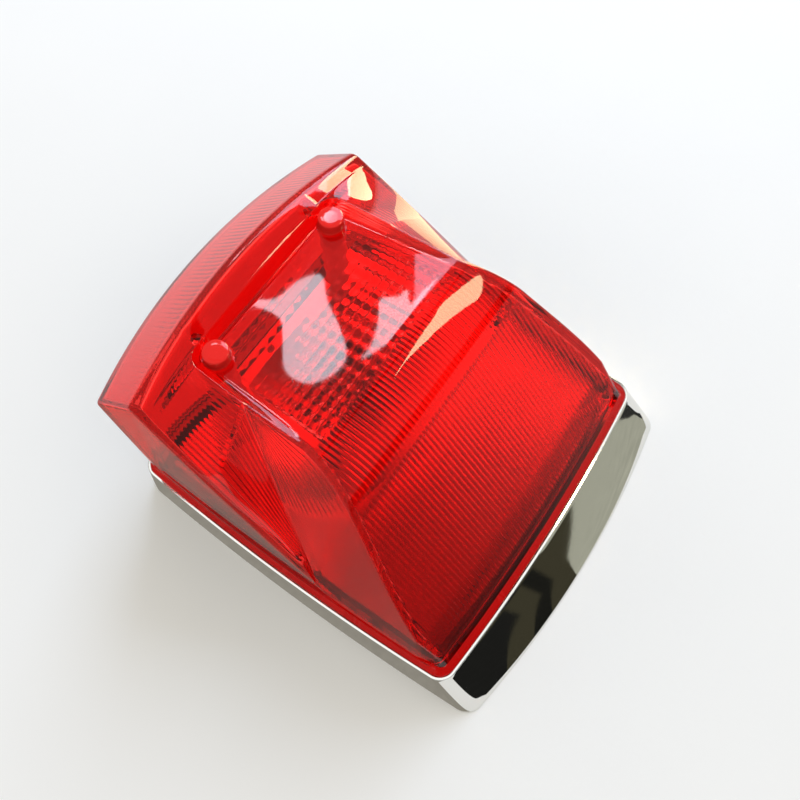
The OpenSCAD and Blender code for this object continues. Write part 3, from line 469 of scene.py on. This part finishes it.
def half_columns(keys, counts, reach):
    """Fine points along each half row; the band number and the place inside the band come with them."""
    c, h, l, e, v, m, s, b = [keys[:, i] for i in range(8)]
    ctrl1, ctrl2 = 2 * h - (c + l) / 2, 2 * m - (v + s) / 2
    parts, bands, shares = [], [], []

    def run(p0, p1, ctrl, n, cut0, cut1, band):
        length = np.linalg.norm(p1 - p0, axis=1) + 1e-9
        t0, t1 = np.minimum(cut0 / length, 0.4), 1 - np.minimum(cut1 / length, 0.4)
        t = lerp(t0[:, None], t1[:, None], np.linspace(0, 1, n)[None])[..., None]
        a, b = p0[:, None], p1[:, None]
        parts.append(lerp(a, b, t) if ctrl is None else bend(a, ctrl[:, None], b, t))
        bands.extend([band] * n)
        shares.append(t[..., 0])

    def corner(p, band):
        """Keep the corner between the run just made and the next, to be rounded afterwards."""
        parts.append(p)
        bands.extend([band] * CORNER_STEPS)
        shares.append(np.ones((len(keys), CORNER_STEPS)))
    run(c, l, ctrl1, counts[0], 0, reach, FLOOR)
    corner(l, RIM)
    run(l, e, None, counts[1], reach, reach, RIM)
    corner(e, RIM)
    run(e, v, None, counts[2], reach, reach * 0.6, FACET)
    corner(v, FACET)
    run(v, s, ctrl2, counts[3], reach * 0.6, reach, HOOD)
    corner(s, WALL)
    run(s, b, None, counts[4], reach, 0, WALL)
    t = (np.arange(1, CORNER_STEPS + 1) / (CORNER_STEPS + 1))[None, :, None]
    for i in range(1, len(parts), 2):
        parts[i] = bend(parts[i - 1][:, -1:], parts[i][:, None], parts[i + 1][:, :1], t)
    return np.concatenate(parts, 1), np.array(bands), np.concatenate(shares, 1)


def both_halves(half):
    """Mirror half rows into whole rows; the centre column isn't doubled."""
    other = half[:, :0:-1].copy()
    if half.ndim == 3:
        other[..., 0] *= -1
    return np.concatenate([other, half], 1)


def grid_normals(p):
    """Unit normals of a grid of points."""
    n = np.cross(np.gradient(p, axis=1), np.gradient(p, axis=0))
    return n / (np.linalg.norm(n, axis=2, keepdims=True) + 1e-12)


def flute(x, pitch):
    """Round flutes at a pitch, from 0 to 1."""
    return np.abs(np.sin(np.pi * x / pitch))


def pillow_depth(x, place, shares, s):
    """Round rows across the top face, with waves running along it that make the rows' edges wavy."""
    up = (place - PILLOW_NEAR) / (s.pillow_rows / MM)
    up = up - np.floor(up)
    row = 1 - (2 * up - 1) ** 2
    wave = 0.5 + 0.5 * np.cos(2 * np.pi * x / (s.pillow_cells / MM))
    left = 1 - PILLOW_FADE * fade(place, PILLOW_FADE_NEAR, PILLOW_FADE_FAR)
    return (s.pillow_depth * row + s.pillow_wave * wave) / MM * left * fade(1 - shares, 0.01, 0.06)


def rib_depths(p, kinds, places, bands, shares, s):
    """Thickness added inside by ribs and pillows, in mm."""
    x = p[..., 0]
    kind, place, band = kinds[:, None], places[:, None], bands[None]
    pitch, height = s.rib_pitch / MM, s.rib_depth / MM
    ribs = flute(x, pitch) * height
    # Panel and bend, with a flat crease between them
    middle = (band <= RIM) & (kind <= TOP)
    flat = fade(np.abs(place - CREASE), 0.5, 1.7)
    panel = ribs * flat * fade(place, 3.0, 4.0)
    above = flute(x + pitch / 2, pitch) * height * flat * fade(PILLOW_NEAR - place, 0.0, 0.8)
    d = np.where(middle, np.where(place < CREASE, panel, above), 0.0)
    # Top face, side facets and hood
    on_top = kind == TOP
    floor = (band == FLOOR) & on_top & (place >= PILLOW_NEAR) & (place < FACE_FAR - RECESS_SLOPE - 1)
    d = np.where(floor, pillow_depth(x, place, shares, s), d)
    cut = fade(place - (CREASE + FACET_BREAK * shares), 0.0, 0.8)
    facet = flute(shares * FACET_RIB_W, pitch) * height * 0.8 * cut
    d = np.where((band == FACET) & on_top & (place < SHOULDER_FAR), facet, d)
    hood = flute(shares * HOOD_RIB_W, pitch) * height * (0.2 + 0.8 * fade(HOOD_RIB_FAR - place, -6, 4))
    d = np.where((band == HOOD) & on_top, hood, d)
    end = ribs * 0.6 * fade(place, 0.05, 0.25) * fade(1 - place, 0.1, 0.7)
    return np.where((kind == END) & (band <= HOOD), end, d)


def lathe(profile, segments, cx, cy):
    """Points and quads of a turned shape from (radius, z) pairs."""
    a = np.linspace(0, 2 * np.pi, segments, endpoint=False)
    rings = [np.stack([cx + r * np.cos(a), cy + r * np.sin(a), np.full(segments, z)], 1) for r, z in profile]
    return np.concatenate(rings), ring_faces(len(profile), segments)


def flange_rings(ring):
    """Loops of the edge flange round the lens's foot, outwards and down."""
    step = np.roll(ring, -1, 0) - np.roll(ring, 1, 0)
    side = np.stack([step[:, 1], -step[:, 0]], 1)
    side /= np.linalg.norm(side, axis=1, keepdims=True) + 1e-9
    reach = FOOT_INSET - RIM_LAND - 0.3
    steps = ((reach * 0.55, FOOT_Z - 0.25), (reach * 0.9, FOOT_Z - 0.45), (reach, FOOT_Z - 0.9),
             (reach, FOOT_IN))
    return [at_height(ring[:, :2] + side * out, z) for out, z in steps]


def post_profiles(wall):
    """Profiles, as radius and height, of a post with its screw hole and of the boss above it."""
    floor_z = FACE_H - float(floor_drop(np.array(POST_FAR)))
    top = floor_z - wall - 0.2
    post = [(AXIS_R, top), (POST_R, top), (POST_R, POST_FOOT), (SCREW_R, POST_FOOT), (SCREW_R, SCREW_TOP),
            (AXIS_R, SCREW_TOP)]
    boss = [(4.7, floor_z - 0.6), (4.3, floor_z), (4.02, floor_z + 0.5), (3.92, floor_z + 1.0),
            (3.9, FACE_H - 0.5), (3.8, FACE_H - 0.16), (3.5, FACE_H), (2.0, FACE_H), (AXIS_R, FACE_H)]
    return post, boss


def build_lens(s):
    """Points and faces of the lens, and which faces belong to the solid posts and bosses."""
    wall = s.wall / MM
    outer = both_halves(half_columns(key_rows(0.0)[0], OUTER_COLUMNS, OUTER_ROUND)[0])
    keys, kinds, places = key_rows(wall)
    half, bands, shares = half_columns(keys, (s.fine_columns, *INNER_COLUMNS), INNER_ROUND)
    inner = both_halves(half)
    bands = np.concatenate([bands[:0:-1], bands])
    depth = rib_depths(inner, kinds, places, bands, both_halves(shares), s)
    inner = inner - grid_normals(inner) * depth[..., None]
    r, c = outer.shape[:2]
    ri, ci = inner.shape[:2]
    faces = list(grid_quads(r, c)) + list(grid_quads(ri, ci, r * c, flip=True))
    loop = grid_border(r, c)
    flange = flange_rings(outer.reshape(-1, 3)[loop])
    skin = np.concatenate([outer.reshape(-1, 3), inner.reshape(-1, 3), *flange])
    base, n = r * c + ri * ci, len(loop)
    loops = [loop] + [np.arange(base + k * n, base + (k + 1) * n) for k in range(len(flange))]
    for a, b in zip(loops[:-1], loops[1:]):
        faces += [(a[i], b[i], b[(i + 1) % n], a[(i + 1) % n]) for i in range(n)]
    faces += stitch(skin, loops[-1], grid_border(ri, ci, r * c))
    blocks, solid, count = [skin], [], len(skin)
    for profile in post_profiles(wall):
        for sx in (-1, 1):
            pts, ring = lathe(profile, 48, sx * POST_X, POST_FAR)
            blocks.append(pts)
            solid += range(len(faces), len(faces) + len(ring))
            faces += [tuple(i + count for i in q) for q in ring]
            count += len(pts)
    return to_frame(np.concatenate(blocks)), faces, solid


def build_housing():
    """Points and faces of the plinth, in closed rings from the foot over the rim and back inside."""
    seat, ledge = -SEAT_DEPTH, -SEAT_DEPTH - SEAT_T
    rings = []
    low, top = foot_ring(0, -PLINTH_H), rim_ring(0, -0.5)
    middle = np.array([0, RIM_LEN / 2, 0])
    for t in (0.0, 0.02, 0.1, 0.25, 0.4, 0.55, 0.7, 0.85, 0.96, 1.0):
        p = lerp(low, top, t)
        out = p - middle
        out[:, 2] = 0
        out /= np.linalg.norm(out, axis=1, keepdims=True)
        rings.append(p + out * SKIRT_SWELL * math.sin(math.pi * t))
    for share, z in RIM_PROFILE:
        rings.append(rim_ring(RIM_LAND * share, z))
    rings += [rim_ring(RIM_LAND, seat), rim_ring(RIM_LAND + SEAT_W, seat), rim_ring(RIM_LAND + SEAT_W, ledge),
              rim_ring(HOUSING_WALL, ledge), foot_ring(HOUSING_WALL, -PLINTH_H + 0.3),
              foot_ring(HOUSING_WALL * 0.5, -PLINTH_H), foot_ring(0.4, -PLINTH_H)]
    return to_frame(np.concatenate(rings)), ring_faces(len(rings), len(low), closed=True)


def build_spring(s):
    """Points and faces of the wound spring, in the box of the CAD's spring."""
    n, sides = s.turns * SPRING_STEPS, SPRING_SIDES
    lo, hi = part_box("contact_spring")
    wire = SPRING_WIRE_R * MM
    axis = (lo + hi) / 2
    coil = (hi.x - lo.x) / 2 - wire
    k, j = np.meshgrid(np.arange(n + 1), np.arange(sides), indexing="ij")
    a, b = 2 * math.pi * k / SPRING_STEPS, 2 * math.pi * j / sides
    r = coil + wire * np.cos(b)
    z = lerp(lo.z + wire, hi.z - wire, k / n) + wire * np.sin(b)
    pts = np.stack([axis.x + r * np.cos(a), axis.y + r * np.sin(a), z], -1).reshape(-1, 3)
    return pts, ring_faces(n + 1, sides) + [range(sides)[::-1], range(n * sides, (n + 1) * sides)]


# Shader helpers
class Graph:
    """A small wrapper for making and joining nodes."""

    def __init__(self, tree):
        self.tree = tree

    def set(self, n, **sockets):
        """Set sockets of a node, each named with underscores for its spaces."""
        for key, value in sockets.items():
            n.inputs[key.replace("_", " ")].default_value = value
        return n

    def node(self, kind, **sockets):
        """A new node with the given sockets set."""
        return self.set(self.tree.nodes.new(kind), **sockets)

    def join(self, a, b):
        """Link an output to an input."""
        self.tree.links.new(a, b)

    def feed(self, socket, value):
        """Set a socket to a number, or join it to another socket."""
        if isinstance(value, (int, float)):
            socket.default_value = value
        else:
            self.join(value, socket)

    def maths(self, operation, a, b):
        """The result of one sum."""
        n = self.node("ShaderNodeMath")
        n.operation = operation
        self.feed(n.inputs[0], a)
        self.feed(n.inputs[1], b)
        return n.outputs[0]

    def blend(self, share, a, b):
        """A value that goes from a to b with share."""
        n = self.node("ShaderNodeMix")
        self.join(share, n.inputs["Factor"])
        for index, value in zip(MIX_VALUES, (a, b)):
            self.feed(n.inputs[index], value)
        return n.outputs[0]

    def blend_colours(self, share, a, b):
        """A colour that goes from a to b with share."""
        n = self.node("ShaderNodeMix")
        n.data_type = "RGBA"
        self.join(share, n.inputs[0])
        for index, value in zip(MIX_COLOURS, (a, b)):
            n.inputs[index].default_value = (*value, 1)
        return n.outputs[MIX_COLOUR_OUT]

    def ramp(self, value, start, end, low, high):
        """A value that goes smoothly from low at start to high at end."""
        n = self.node("ShaderNodeMapRange", From_Min=start, From_Max=end, To_Min=low, To_Max=high)
        n.interpolation_type = "SMOOTHSTEP"
        self.join(value, n.inputs["Value"])
        return n.outputs["Result"]


def wear_group():
    """Handling marks: a smudge mask, a roughness and a fine normal, from object coordinates."""
    name = "Surface wear"
    if name in bpy.data.node_groups:
        return bpy.data.node_groups[name]
    group = bpy.data.node_groups.new(name, "ShaderNodeTree")
    for label, value in (("Scale", 40.0), ("Roughness", 0.2), ("Spread", 0.1), ("Grain", 0.02)):
        socket = group.interface.new_socket(name=label, in_out="INPUT", socket_type="NodeSocketFloat")
        socket.default_value = value
    for label, kind in (("Mask", "Float"), ("Roughness", "Float"), ("Normal", "Vector")):
        group.interface.new_socket(name=label, in_out="OUTPUT", socket_type="NodeSocket" + kind)
    given, made = group.nodes.new("NodeGroupInput"), group.nodes.new("NodeGroupOutput")
    g = Graph(group)
    where = g.node("ShaderNodeTexCoord")
    big = g.node("ShaderNodeTexNoise", Detail=4.0, Roughness=0.6)
    g.join(where.outputs["Object"], big.inputs["Vector"])
    g.join(given.outputs["Scale"], big.inputs["Scale"])
    fine = g.node("ShaderNodeTexNoise", Detail=6.0, Roughness=0.7)
    g.join(where.outputs["Object"], fine.inputs["Vector"])
    g.join(g.maths("MULTIPLY", given.outputs["Scale"], 22.0), fine.inputs["Scale"])
    swing = g.maths("MULTIPLY", g.maths("SUBTRACT", big.outputs["Fac"], 0.5), given.outputs["Spread"])
    g.join(g.maths("ADD", given.outputs["Roughness"], swing), made.inputs["Roughness"])
    g.join(big.outputs["Fac"], made.inputs["Mask"])
    bump = g.node("ShaderNodeBump", Distance=0.0004)
    g.join(given.outputs["Grain"], bump.inputs["Strength"])
    g.join(fine.outputs["Fac"], bump.inputs["Height"])
    g.join(bump.outputs["Normal"], made.inputs["Normal"])
    return group


def new_material(name):
    """A material, its graph and its Principled shader."""
    mat = bpy.data.materials.new(name)
    mat.use_nodes = True
    g = Graph(mat.node_tree)
    return mat, g, mat.node_tree.nodes["Principled BSDF"]


def worn(g, bsdf, colour, tint, roughness, spread, scale, grain):
    """Drive a Principled shader's colour, roughness and normal from the wear group."""
    wear = g.node("ShaderNodeGroup")
    wear.node_tree = wear_group()
    g.set(wear, Scale=scale, Roughness=roughness, Spread=spread, Grain=grain)
    g.join(g.blend_colours(wear.outputs["Mask"], colour, tint), bsdf.inputs["Base Color"])
    g.join(wear.outputs["Roughness"], bsdf.inputs["Roughness"])
    g.join(wear.outputs["Normal"], bsdf.inputs["Normal"])


def finish(name, **sockets):
    """The named finish, made once, with the given constants on its shader."""
    if name in bpy.data.materials:
        return bpy.data.materials[name]
    mat, g, bsdf = new_material(name)
    g.set(bsdf, **sockets)
    worn(g, bsdf, *FINISHES[name])
    return mat


def metal(name):
    """A plated or bare metal finish."""
    return finish(name, Metallic=1.0)


def red_acrylic(s):
    """Red acrylic. Light on other surfaces passes straight through it, in the shadow's colour on what is seen
    directly, such as the table, and in the inside colour on what is seen through the lens."""
    mat, g, bsdf = new_material("Red acrylic")
    g.set(bsdf, Transmission_Weight=s.clearness, IOR=ACRYLIC_IOR)
    worn(g, bsdf, s.colour, [c * 0.97 for c in s.colour], 0.03, 0.03, 30.0, 0.0)
    path = g.node("ShaderNodeLightPath")
    inside = g.maths("GREATER_THAN", path.outputs["Ray Depth"], 1.5)
    clear = g.node("ShaderNodeBsdfTransparent")
    g.join(g.blend_colours(inside, s.shadow_colour, s.inside_colour), clear.inputs["Color"])
    mix = g.node("ShaderNodeMixShader")
    lighting = g.maths("MAXIMUM", path.outputs["Is Shadow Ray"], path.outputs["Is Diffuse Ray"])
    g.join(lighting, mix.inputs["Fac"])
    g.join(bsdf.outputs["BSDF"], mix.inputs[1])
    g.join(clear.outputs["BSDF"], mix.inputs[2])
    g.join(mix.outputs["Shader"], g.tree.nodes["Material Output"].inputs["Surface"])
    return mat


def solid_acrylic(s):
    """The posts and the bosses at their ends are solid, so they look like a block of colour."""
    mat, g, bsdf = new_material("Solid red acrylic")
    g.set(bsdf, IOR=ACRYLIC_IOR)
    worn(g, bsdf, s.solid_colour, [c * 0.9 for c in s.solid_colour], 0.06, 0.03, 200.0, 0.0)
    return mat


def glow(name, colour, strength, spread=0.0, scale=60.0):
    """A plain light-giving finish for the stage's cards, a little uneven where spread isn't 0."""
    mat, g, bsdf = new_material(name)
    mat.cycles.emission_sampling = "NONE"
    g.tree.nodes.remove(bsdf)
    light = g.node("ShaderNodeEmission", Color=(*colour, 1), Strength=strength)
    if spread:
        noise = g.node("ShaderNodeTexNoise", Scale=scale, Detail=4.0)
        swing = g.maths("MULTIPLY", g.maths("SUBTRACT", noise.outputs["Fac"], 0.5), 2 * spread * strength)
        g.join(g.maths("ADD", swing, strength), light.inputs["Strength"])
    g.join(light.outputs["Emission"], g.tree.nodes["Material Output"].inputs["Surface"])
    return mat


def give(mat, *names):
    """Put a material on CAD nodes that are shown as they are."""
    for name in names:
        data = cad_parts[name].data
        data.materials.clear()
        data.materials.append(mat)


# Settings
def length_prop(name, description, default, low, high):
    """A length in metres."""
    return FloatProperty(name=name, description=description, default=default, min=low, max=high,
                         unit="LENGTH", precision=5)


def level_prop(name, description, default, high=3.0, **kind):
    """A number from 0 up."""
    return FloatProperty(name=name, description=description, default=default, min=0, max=high, **kind)


def colour_prop(name, description, default):
    """A colour."""
    return FloatVectorProperty(name=name, description=description, default=default, min=0, max=1,
                               subtype="COLOR", size=3)


class LensSettings(bpy.types.PropertyGroup):
    """Sizes and colours of the lens"""
    wall: length_prop("Wall", "Wall thickness", 0.0025, 0.0015, 0.003)
    rib_pitch: length_prop("Rib pitch", "Distance between ribs", 0.0016, 0.001, 0.003)
    rib_depth: length_prop("Rib depth", "Height of the ribs", 0.00032, 0.0, 0.0006)
    pillow_rows: length_prop("Pillow rows", "Distance between the top face's round rows", 0.003, 0.002, 0.006)
    pillow_cells: length_prop("Pillow cells", "Length of one wave across the rows", 0.0042, 0.002, 0.008)
    pillow_depth: length_prop("Pillow depth", "Height of the rows", 0.00055, 0.0, 0.001)
    pillow_wave: length_prop("Pillow wave", "Height of the waves", 0.0005, 0.0, 0.001)
    fine_columns: IntProperty(name="Fine columns", description="Columns across half the ribbed panel",
                              default=180, min=60, max=300)
    colour: colour_prop("Colour", "Tint of the acrylic", (0.985, 0.035, 0.03))
    shadow_colour: colour_prop("Shadow colour", "Tint of light through one wall", (0.25, 0.03, 0.02))
    inside_colour: colour_prop("Inside colour", "Tint of light on the pieces inside", (0.88, 0.13, 0.1))
    solid_colour: colour_prop("Solid colour", "Colour of the solid posts and bosses", (0.92, 0.02, 0.016))
    clearness: level_prop("Clearness", "Share of light that goes straight through", 0.98, 1.0, subtype="FACTOR")


class SpringSettings(bpy.types.PropertyGroup):
    """Winding of the contact spring"""
    turns: IntProperty(name="Turns", description="Coils of the contact spring", default=3, min=2, max=6)


class StageSettings(bpy.types.PropertyGroup):
    """Camera and light"""
    camera_place: FloatVectorProperty(name="Camera place", description="Camera position", subtype="XYZ",
                                      unit="LENGTH", size=3, default=(-0.0855, -0.0369, 0.2862))
    lens_mm: FloatProperty(name="Focal length", description="Camera focal length", unit="CAMERA",
                           default=39.16, min=10, max=200)
    key_power: level_prop("Key power", "Power of the window light", 5.8, 100.0, unit="POWER")
    key_colour: colour_prop("Key colour", "Colour of the window light", (0.64, 0.77, 1.0))
    fill_colour: colour_prop("Fill colour", "Colour of the light from all round", (1.0, 0.968, 0.89))
    fill: level_prop("Fill", "Strength of the light from all round", 0.82)
    room: level_prop("Room", "Level of the room in reflections", 0.3)
    dim: level_prop("Dim side", "Level of the room's dim side seen through the lens", 0.02)
    through: level_prop("Through", "Level of the room's bright side seen through the lens", 2.1)


# Operators
class TAILLIGHT_OT_lens(bpy.types.Operator):
    """Make the red lens with its ribs, pillows, bosses and posts"""
    bl_idname = "taillight.lens"
    bl_label = "Lens"

    def execute(self, context):
        s = context.scene.tl_lens
        pts, faces, solid = build_lens(s)
        obj = new_object("red_lens", pts, faces)
        obj.data.materials.append(red_acrylic(s))
        obj.data.materials.append(solid_acrylic(s))
        for i in solid:
            obj.data.polygons[i].material_index = 1
        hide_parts("lens")
        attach(obj, "lamp")
        return {"FINISHED"}


class TAILLIGHT_OT_housing(bpy.types.Operator):
    """Make the chrome plinth with its flared skirt and bright rim"""
    bl_idname = "taillight.housing"
    bl_label = "Chrome housing"

    def execute(self, context):
        pts, faces = build_housing()
        obj = new_object("chrome_plinth", pts, faces)
        obj.data.materials.append(metal("Chrome"))
        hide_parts("chrome_housing")
        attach(obj, "lamp")
        return {"FINISHED"}


class TAILLIGHT_OT_rubber(bpy.types.Operator):
    """Finish the base gasket and the grommet in matt rubber, and the lens gasket in foam"""
    bl_idname = "taillight.rubber"
    bl_label = "Rubber pieces"

    def execute(self, context):
        give(finish("Rubber"), "base_gasket", "cable_grommet")
        give(finish("Gasket foam"), "lens_gasket")
        return {"FINISHED"}


class TAILLIGHT_OT_tray(bpy.types.Operator):
    """Finish the base tray and the earth terminal in zinc plate"""
    bl_idname = "taillight.tray"
    bl_label = "Base tray"

    def execute(self, context):
        give(metal("Zinc plate"), "base_plate", "earth_tab")
        return {"FINISHED"}


class TAILLIGHT_OT_fixings(bpy.types.Operator):
    """Finish the screws, washers, rivets and threaded inserts in bright steel"""
    bl_idname = "taillight.fixings"
    bl_label = "Fixings"

    def execute(self, context):
        give(metal("Bright steel"), "rivet_nuts", "lens_screws", "lens_screw_washers", "reflector_screws",
             "socket_rivets", "earth_rivet")
        return {"FINISHED"}


class TAILLIGHT_OT_reflector(bpy.types.Operator):
    """Finish the reflector with a metallised coat"""
    bl_idname = "taillight.reflector"
    bl_label = "Reflector"

    def execute(self, context):
        give(metal("Metallised coat"), "reflector")
        return {"FINISHED"}


class TAILLIGHT_OT_socket(bpy.types.Operator):
    """Finish the bayonet socket and its sprung contacts, with a wound spring"""
    bl_idname = "taillight.socket"
    bl_label = "Bulb socket"

    def execute(self, context):
        give(metal("Nickel plate"), "bulb_socket")
        give(finish("Phenolic"), "contact_carrier")
        give(metal("Brass"), "contact_buttons")
        pts, faces = build_spring(context.scene.tl_spring)
        obj = new_object("wound_spring", pts, faces)
        obj.data.materials.append(metal("Spring wire"))
        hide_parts("contact_spring")
        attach(obj, "lamp")
        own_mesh(obj)
        return {"FINISHED"}


class TAILLIGHT_OT_bulb(bpy.types.Operator):
    """Finish the bulb: brass cap and pins, soldered contacts, glass, leads and filaments"""
    bl_idname = "taillight.bulb"
    bl_label = "Bulb"

    def execute(self, context):
        give(metal("Brass"), "bulb_cap", "bulb_pins")
        give(metal("Solder"), "bulb_contacts")
        give(metal("Tungsten"), "filaments", "lead_wires")
        give(finish("Bulb glass", Transmission_Weight=1.0, IOR=GLASS_IOR), "bulb_glass", "bulb_stem")
        return {"FINISHED"}


class TAILLIGHT_OT_stage(bpy.types.Operator):
    """Make the white table, the lights and the camera"""
    bl_idname = "taillight.stage"
    bl_label = "Stage"

    def execute(self, context):
        scene = context.scene
        s = scene.tl_stage
        self.table()
        self.lights(scene, s)
        self.cards()
        self.world(scene, s)
        self.camera(scene, s)
        scene.cycles.max_bounces = scene.cycles.transmission_bounces = GLASS_BOUNCES
        scene.cycles.glossy_bounces = GLOSS_BOUNCES
        scene.view_settings.view_transform = "Standard"
        return {"FINISHED"}

    def table(self):
        """The white table, with no gloss."""
        h, z = TABLE_HALF, TABLE_Z
        obj = new_object("table", [(-h, -h, z), (h, -h, z), (h, h, z), (-h, h, z)], [(0, 1, 2, 3)])
        obj.data.materials.append(finish("White table", Specular_IOR_Level=0.0))

    def camera(self, scene, s):
        """The camera at the photo's viewing angle."""
        cam = bpy.data.cameras.new("camera")
        cam.lens = s.lens_mm
        cam.sensor_width = SENSOR_MM
        cam.clip_start = CLIP_START
        obj = bpy.data.objects.new("camera", cam)
        scene.collection.objects.link(obj)
        turn = Matrix(CAMERA_TURN).transposed().to_4x4()
        obj.matrix_world = Matrix.Translation(s.camera_place) @ turn
        scene.camera = obj

    def lights(self, scene, s):
        """The window's light."""
        light = bpy.data.lights.new("window", "AREA")
        light.shape = "RECTANGLE"
        light.size, light.size_y = KEY_SIZE
        light.energy = s.key_power
        light.color = s.key_colour
        obj = bpy.data.objects.new("window", light)
        obj.location = KEY_PLACE
        obj.rotation_mode = "QUATERNION"
        obj.rotation_quaternion = obj.location.to_track_quat("Z", "Y")
        scene.collection.objects.link(obj)

    def card(self, name, corners, mat, rays=("glossy",), faces=None, lit=None):
        """A card that only the given rays see, and that lights only the piece named in lit, where one is."""
        obj = new_object(name, corners, faces or [range(len(corners))], smooth=False)
        obj.data.materials.append(mat)
        for ray in ("camera", "diffuse", "glossy", "transmission", "volume_scatter", "shadow"):
            setattr(obj, "visible_" + ray, ray in rays)
        if lit:
            obj.light_linking.receiver_collection = bpy.data.collections.new("Lit by " + name)
            obj.light_linking.receiver_collection.objects.link(bpy.data.objects[lit])

    def cards(self):
        """Cards round the set that only show in gloss and glass."""
        sky, warm = glow("Window sky", *SKY_GLOW), glow("Warm wall", *WARM_GLOW)
        self.card("window_left", rounded(WINDOW_LEFT), sky)
        self.card("window_right", rounded(WINDOW_RIGHT), sky)
        self.card("warm_strip", rounded(WARM_STRIP), warm)
        self.card("warm_wall", rounded(WARM_WALL), warm)
        self.card("warm_floor", at_height(WARM_FLOOR, FLOOR_Z), glow("Warm floor", *FLOOR_GLOW))
        self.card("shade_left", at_height(SHADE_LEFT, FLOOR_Z), glow("Left shade", *SHADE_GLOW))
        self.card("rim_sky", at_height(RIM_SKY, RIM_SKY_Z), glow("Rim sky", *RIM_GLOW), lit="chrome_plinth")
        # A black card seen only through the lens: painted shade on the lens's front-left inside; it blocks no
        # light
        self.card("flag", rounded(at_height(SHADE_CARD, SHADE_CARD_Z)), glow("Flag", *DARK), rays=("transmission",))
        # A veil before the lamp that only gloss sees: a painted reflection on the sloping panel, dim left and
        # bright right
        corners = ((-1, VEIL_LOW), (1, VEIL_LOW), (1, VEIL_TOP), (-1, VEIL_TOP))
        self.card("veil", [(side * VEIL_HALF, VEIL_Y, z) for side, z in corners], self.veil_finish())
        reach = FRONT_NEAR - FRONT_FAR
        for i, colour in enumerate(FRONT_COLOURS):
            (x0, floor0, top0), (x1, floor1, top1) = FRONT_EDGES[i:i + 2]
            corners = [(x0, FRONT_NEAR, FLOOR_Z), (x0 + floor0 * reach, FRONT_FAR, FLOOR_Z),
                       (x1 + floor1 * reach, FRONT_FAR, FLOOR_Z), (x1, FRONT_NEAR, FLOOR_Z),
                       (x0 + top0 * reach, FRONT_FAR, FRONT_H), (x1 + top1 * reach, FRONT_FAR, FRONT_H)]
            self.card("front_%d" % i, corners, glow("Front %d" % i, colour, *FRONT_GLOW),
                      faces=[(0, 1, 2, 3), (1, 4, 5, 2)])

    def veil_finish(self):
        """A glow that grows from left to right: a painted reflection on the lens's sloping panel."""
        mat = glow("Veil", VEIL_COLOUR, VEIL_DIM)
        g = Graph(mat.node_tree)
        where = g.node("ShaderNodeTexCoord")
        split = g.node("ShaderNodeSeparateXYZ")
        g.join(where.outputs["Object"], split.inputs[0])
        strength = g.ramp(split.outputs["X"], VEIL_FROM, VEIL_TO, VEIL_DIM, VEIL_BRIGHT)
        g.join(strength, mat.node_tree.nodes["Emission"].inputs["Strength"])
        return mat

    def world(self, scene, s):
        """The room as light, in reflections, through the lens and behind the set."""
        world = bpy.data.worlds.new("room")
        world.use_nodes = True
        scene.world = world
        g = Graph(world.node_tree)
        back = world.node_tree.nodes["Background"]
        path = g.node("ShaderNodeLightPath")
        g.set(back, Color=(*s.fill_colour, 1))
        strength = g.blend(path.outputs["Is Glossy Ray"], s.fill, s.room)
        strength = g.blend(path.outputs["Is Transmission Ray"], strength, self.bright_side(g, s))
        strength = g.blend(path.outputs["Is Camera Ray"], strength, 1.0)
        g.join(strength, back.inputs["Strength"])

    def bright_side(self, g, s):
        """The room as seen through the lens: dim on the near left, bright on the far right."""
        where = g.node("ShaderNodeTexCoord")
        across = g.node("ShaderNodeVectorMath")
        across.operation = "DOT_PRODUCT"
        across.inputs[1].default_value = BRIGHT_SIDE
        g.join(where.outputs["Generated"], across.inputs[0])
        return g.ramp(across.outputs["Value"], BRIGHT_FROM, BRIGHT_TO, s.dim, s.through)


class TAILLIGHT_PT_panel(bpy.types.Panel):
    """Buttons and sizes for the tail light"""
    bl_idname = "TAILLIGHT_PT_panel"
    bl_label = "Tail light"
    bl_space_type = "VIEW_3D"
    bl_region_type = "UI"
    bl_category = "Tail light"

    def draw(self, context):
        for op in STEPS:
            self.layout.operator(op.bl_idname)
        for name, _ in SETTINGS:
            settings = getattr(context.scene, name)
            for prop in settings.bl_rna.properties:
                if prop.identifier not in ("rna_type", "name"):
                    self.layout.prop(settings, prop.identifier)


STEPS = (TAILLIGHT_OT_lens, TAILLIGHT_OT_housing, TAILLIGHT_OT_rubber, TAILLIGHT_OT_tray, TAILLIGHT_OT_fixings,
         TAILLIGHT_OT_reflector, TAILLIGHT_OT_socket, TAILLIGHT_OT_bulb, TAILLIGHT_OT_stage)
SETTINGS = (("tl_lens", LensSettings), ("tl_spring", SpringSettings), ("tl_stage", StageSettings))


def register():
    for name, group in SETTINGS:
        bpy.utils.register_class(group)
        setattr(bpy.types.Scene, name, PointerProperty(type=group))
    for cls in (*STEPS, TAILLIGHT_PT_panel):
        bpy.utils.register_class(cls)


def unregister():
    for cls in reversed((*STEPS, TAILLIGHT_PT_panel)):
        bpy.utils.unregister_class(cls)
    for name, group in reversed(SETTINGS):
        delattr(bpy.types.Scene, name)
        bpy.utils.unregister_class(group)


def main():
    register()
    bpy.ops.taillight.lens()
    bpy.ops.taillight.housing()
    bpy.ops.taillight.rubber()
    bpy.ops.taillight.tray()
    bpy.ops.taillight.fixings()
    bpy.ops.taillight.reflector()
    bpy.ops.taillight.socket()
    bpy.ops.taillight.bulb()
    bpy.ops.taillight.stage()


if __name__ == "__main__":
    main()
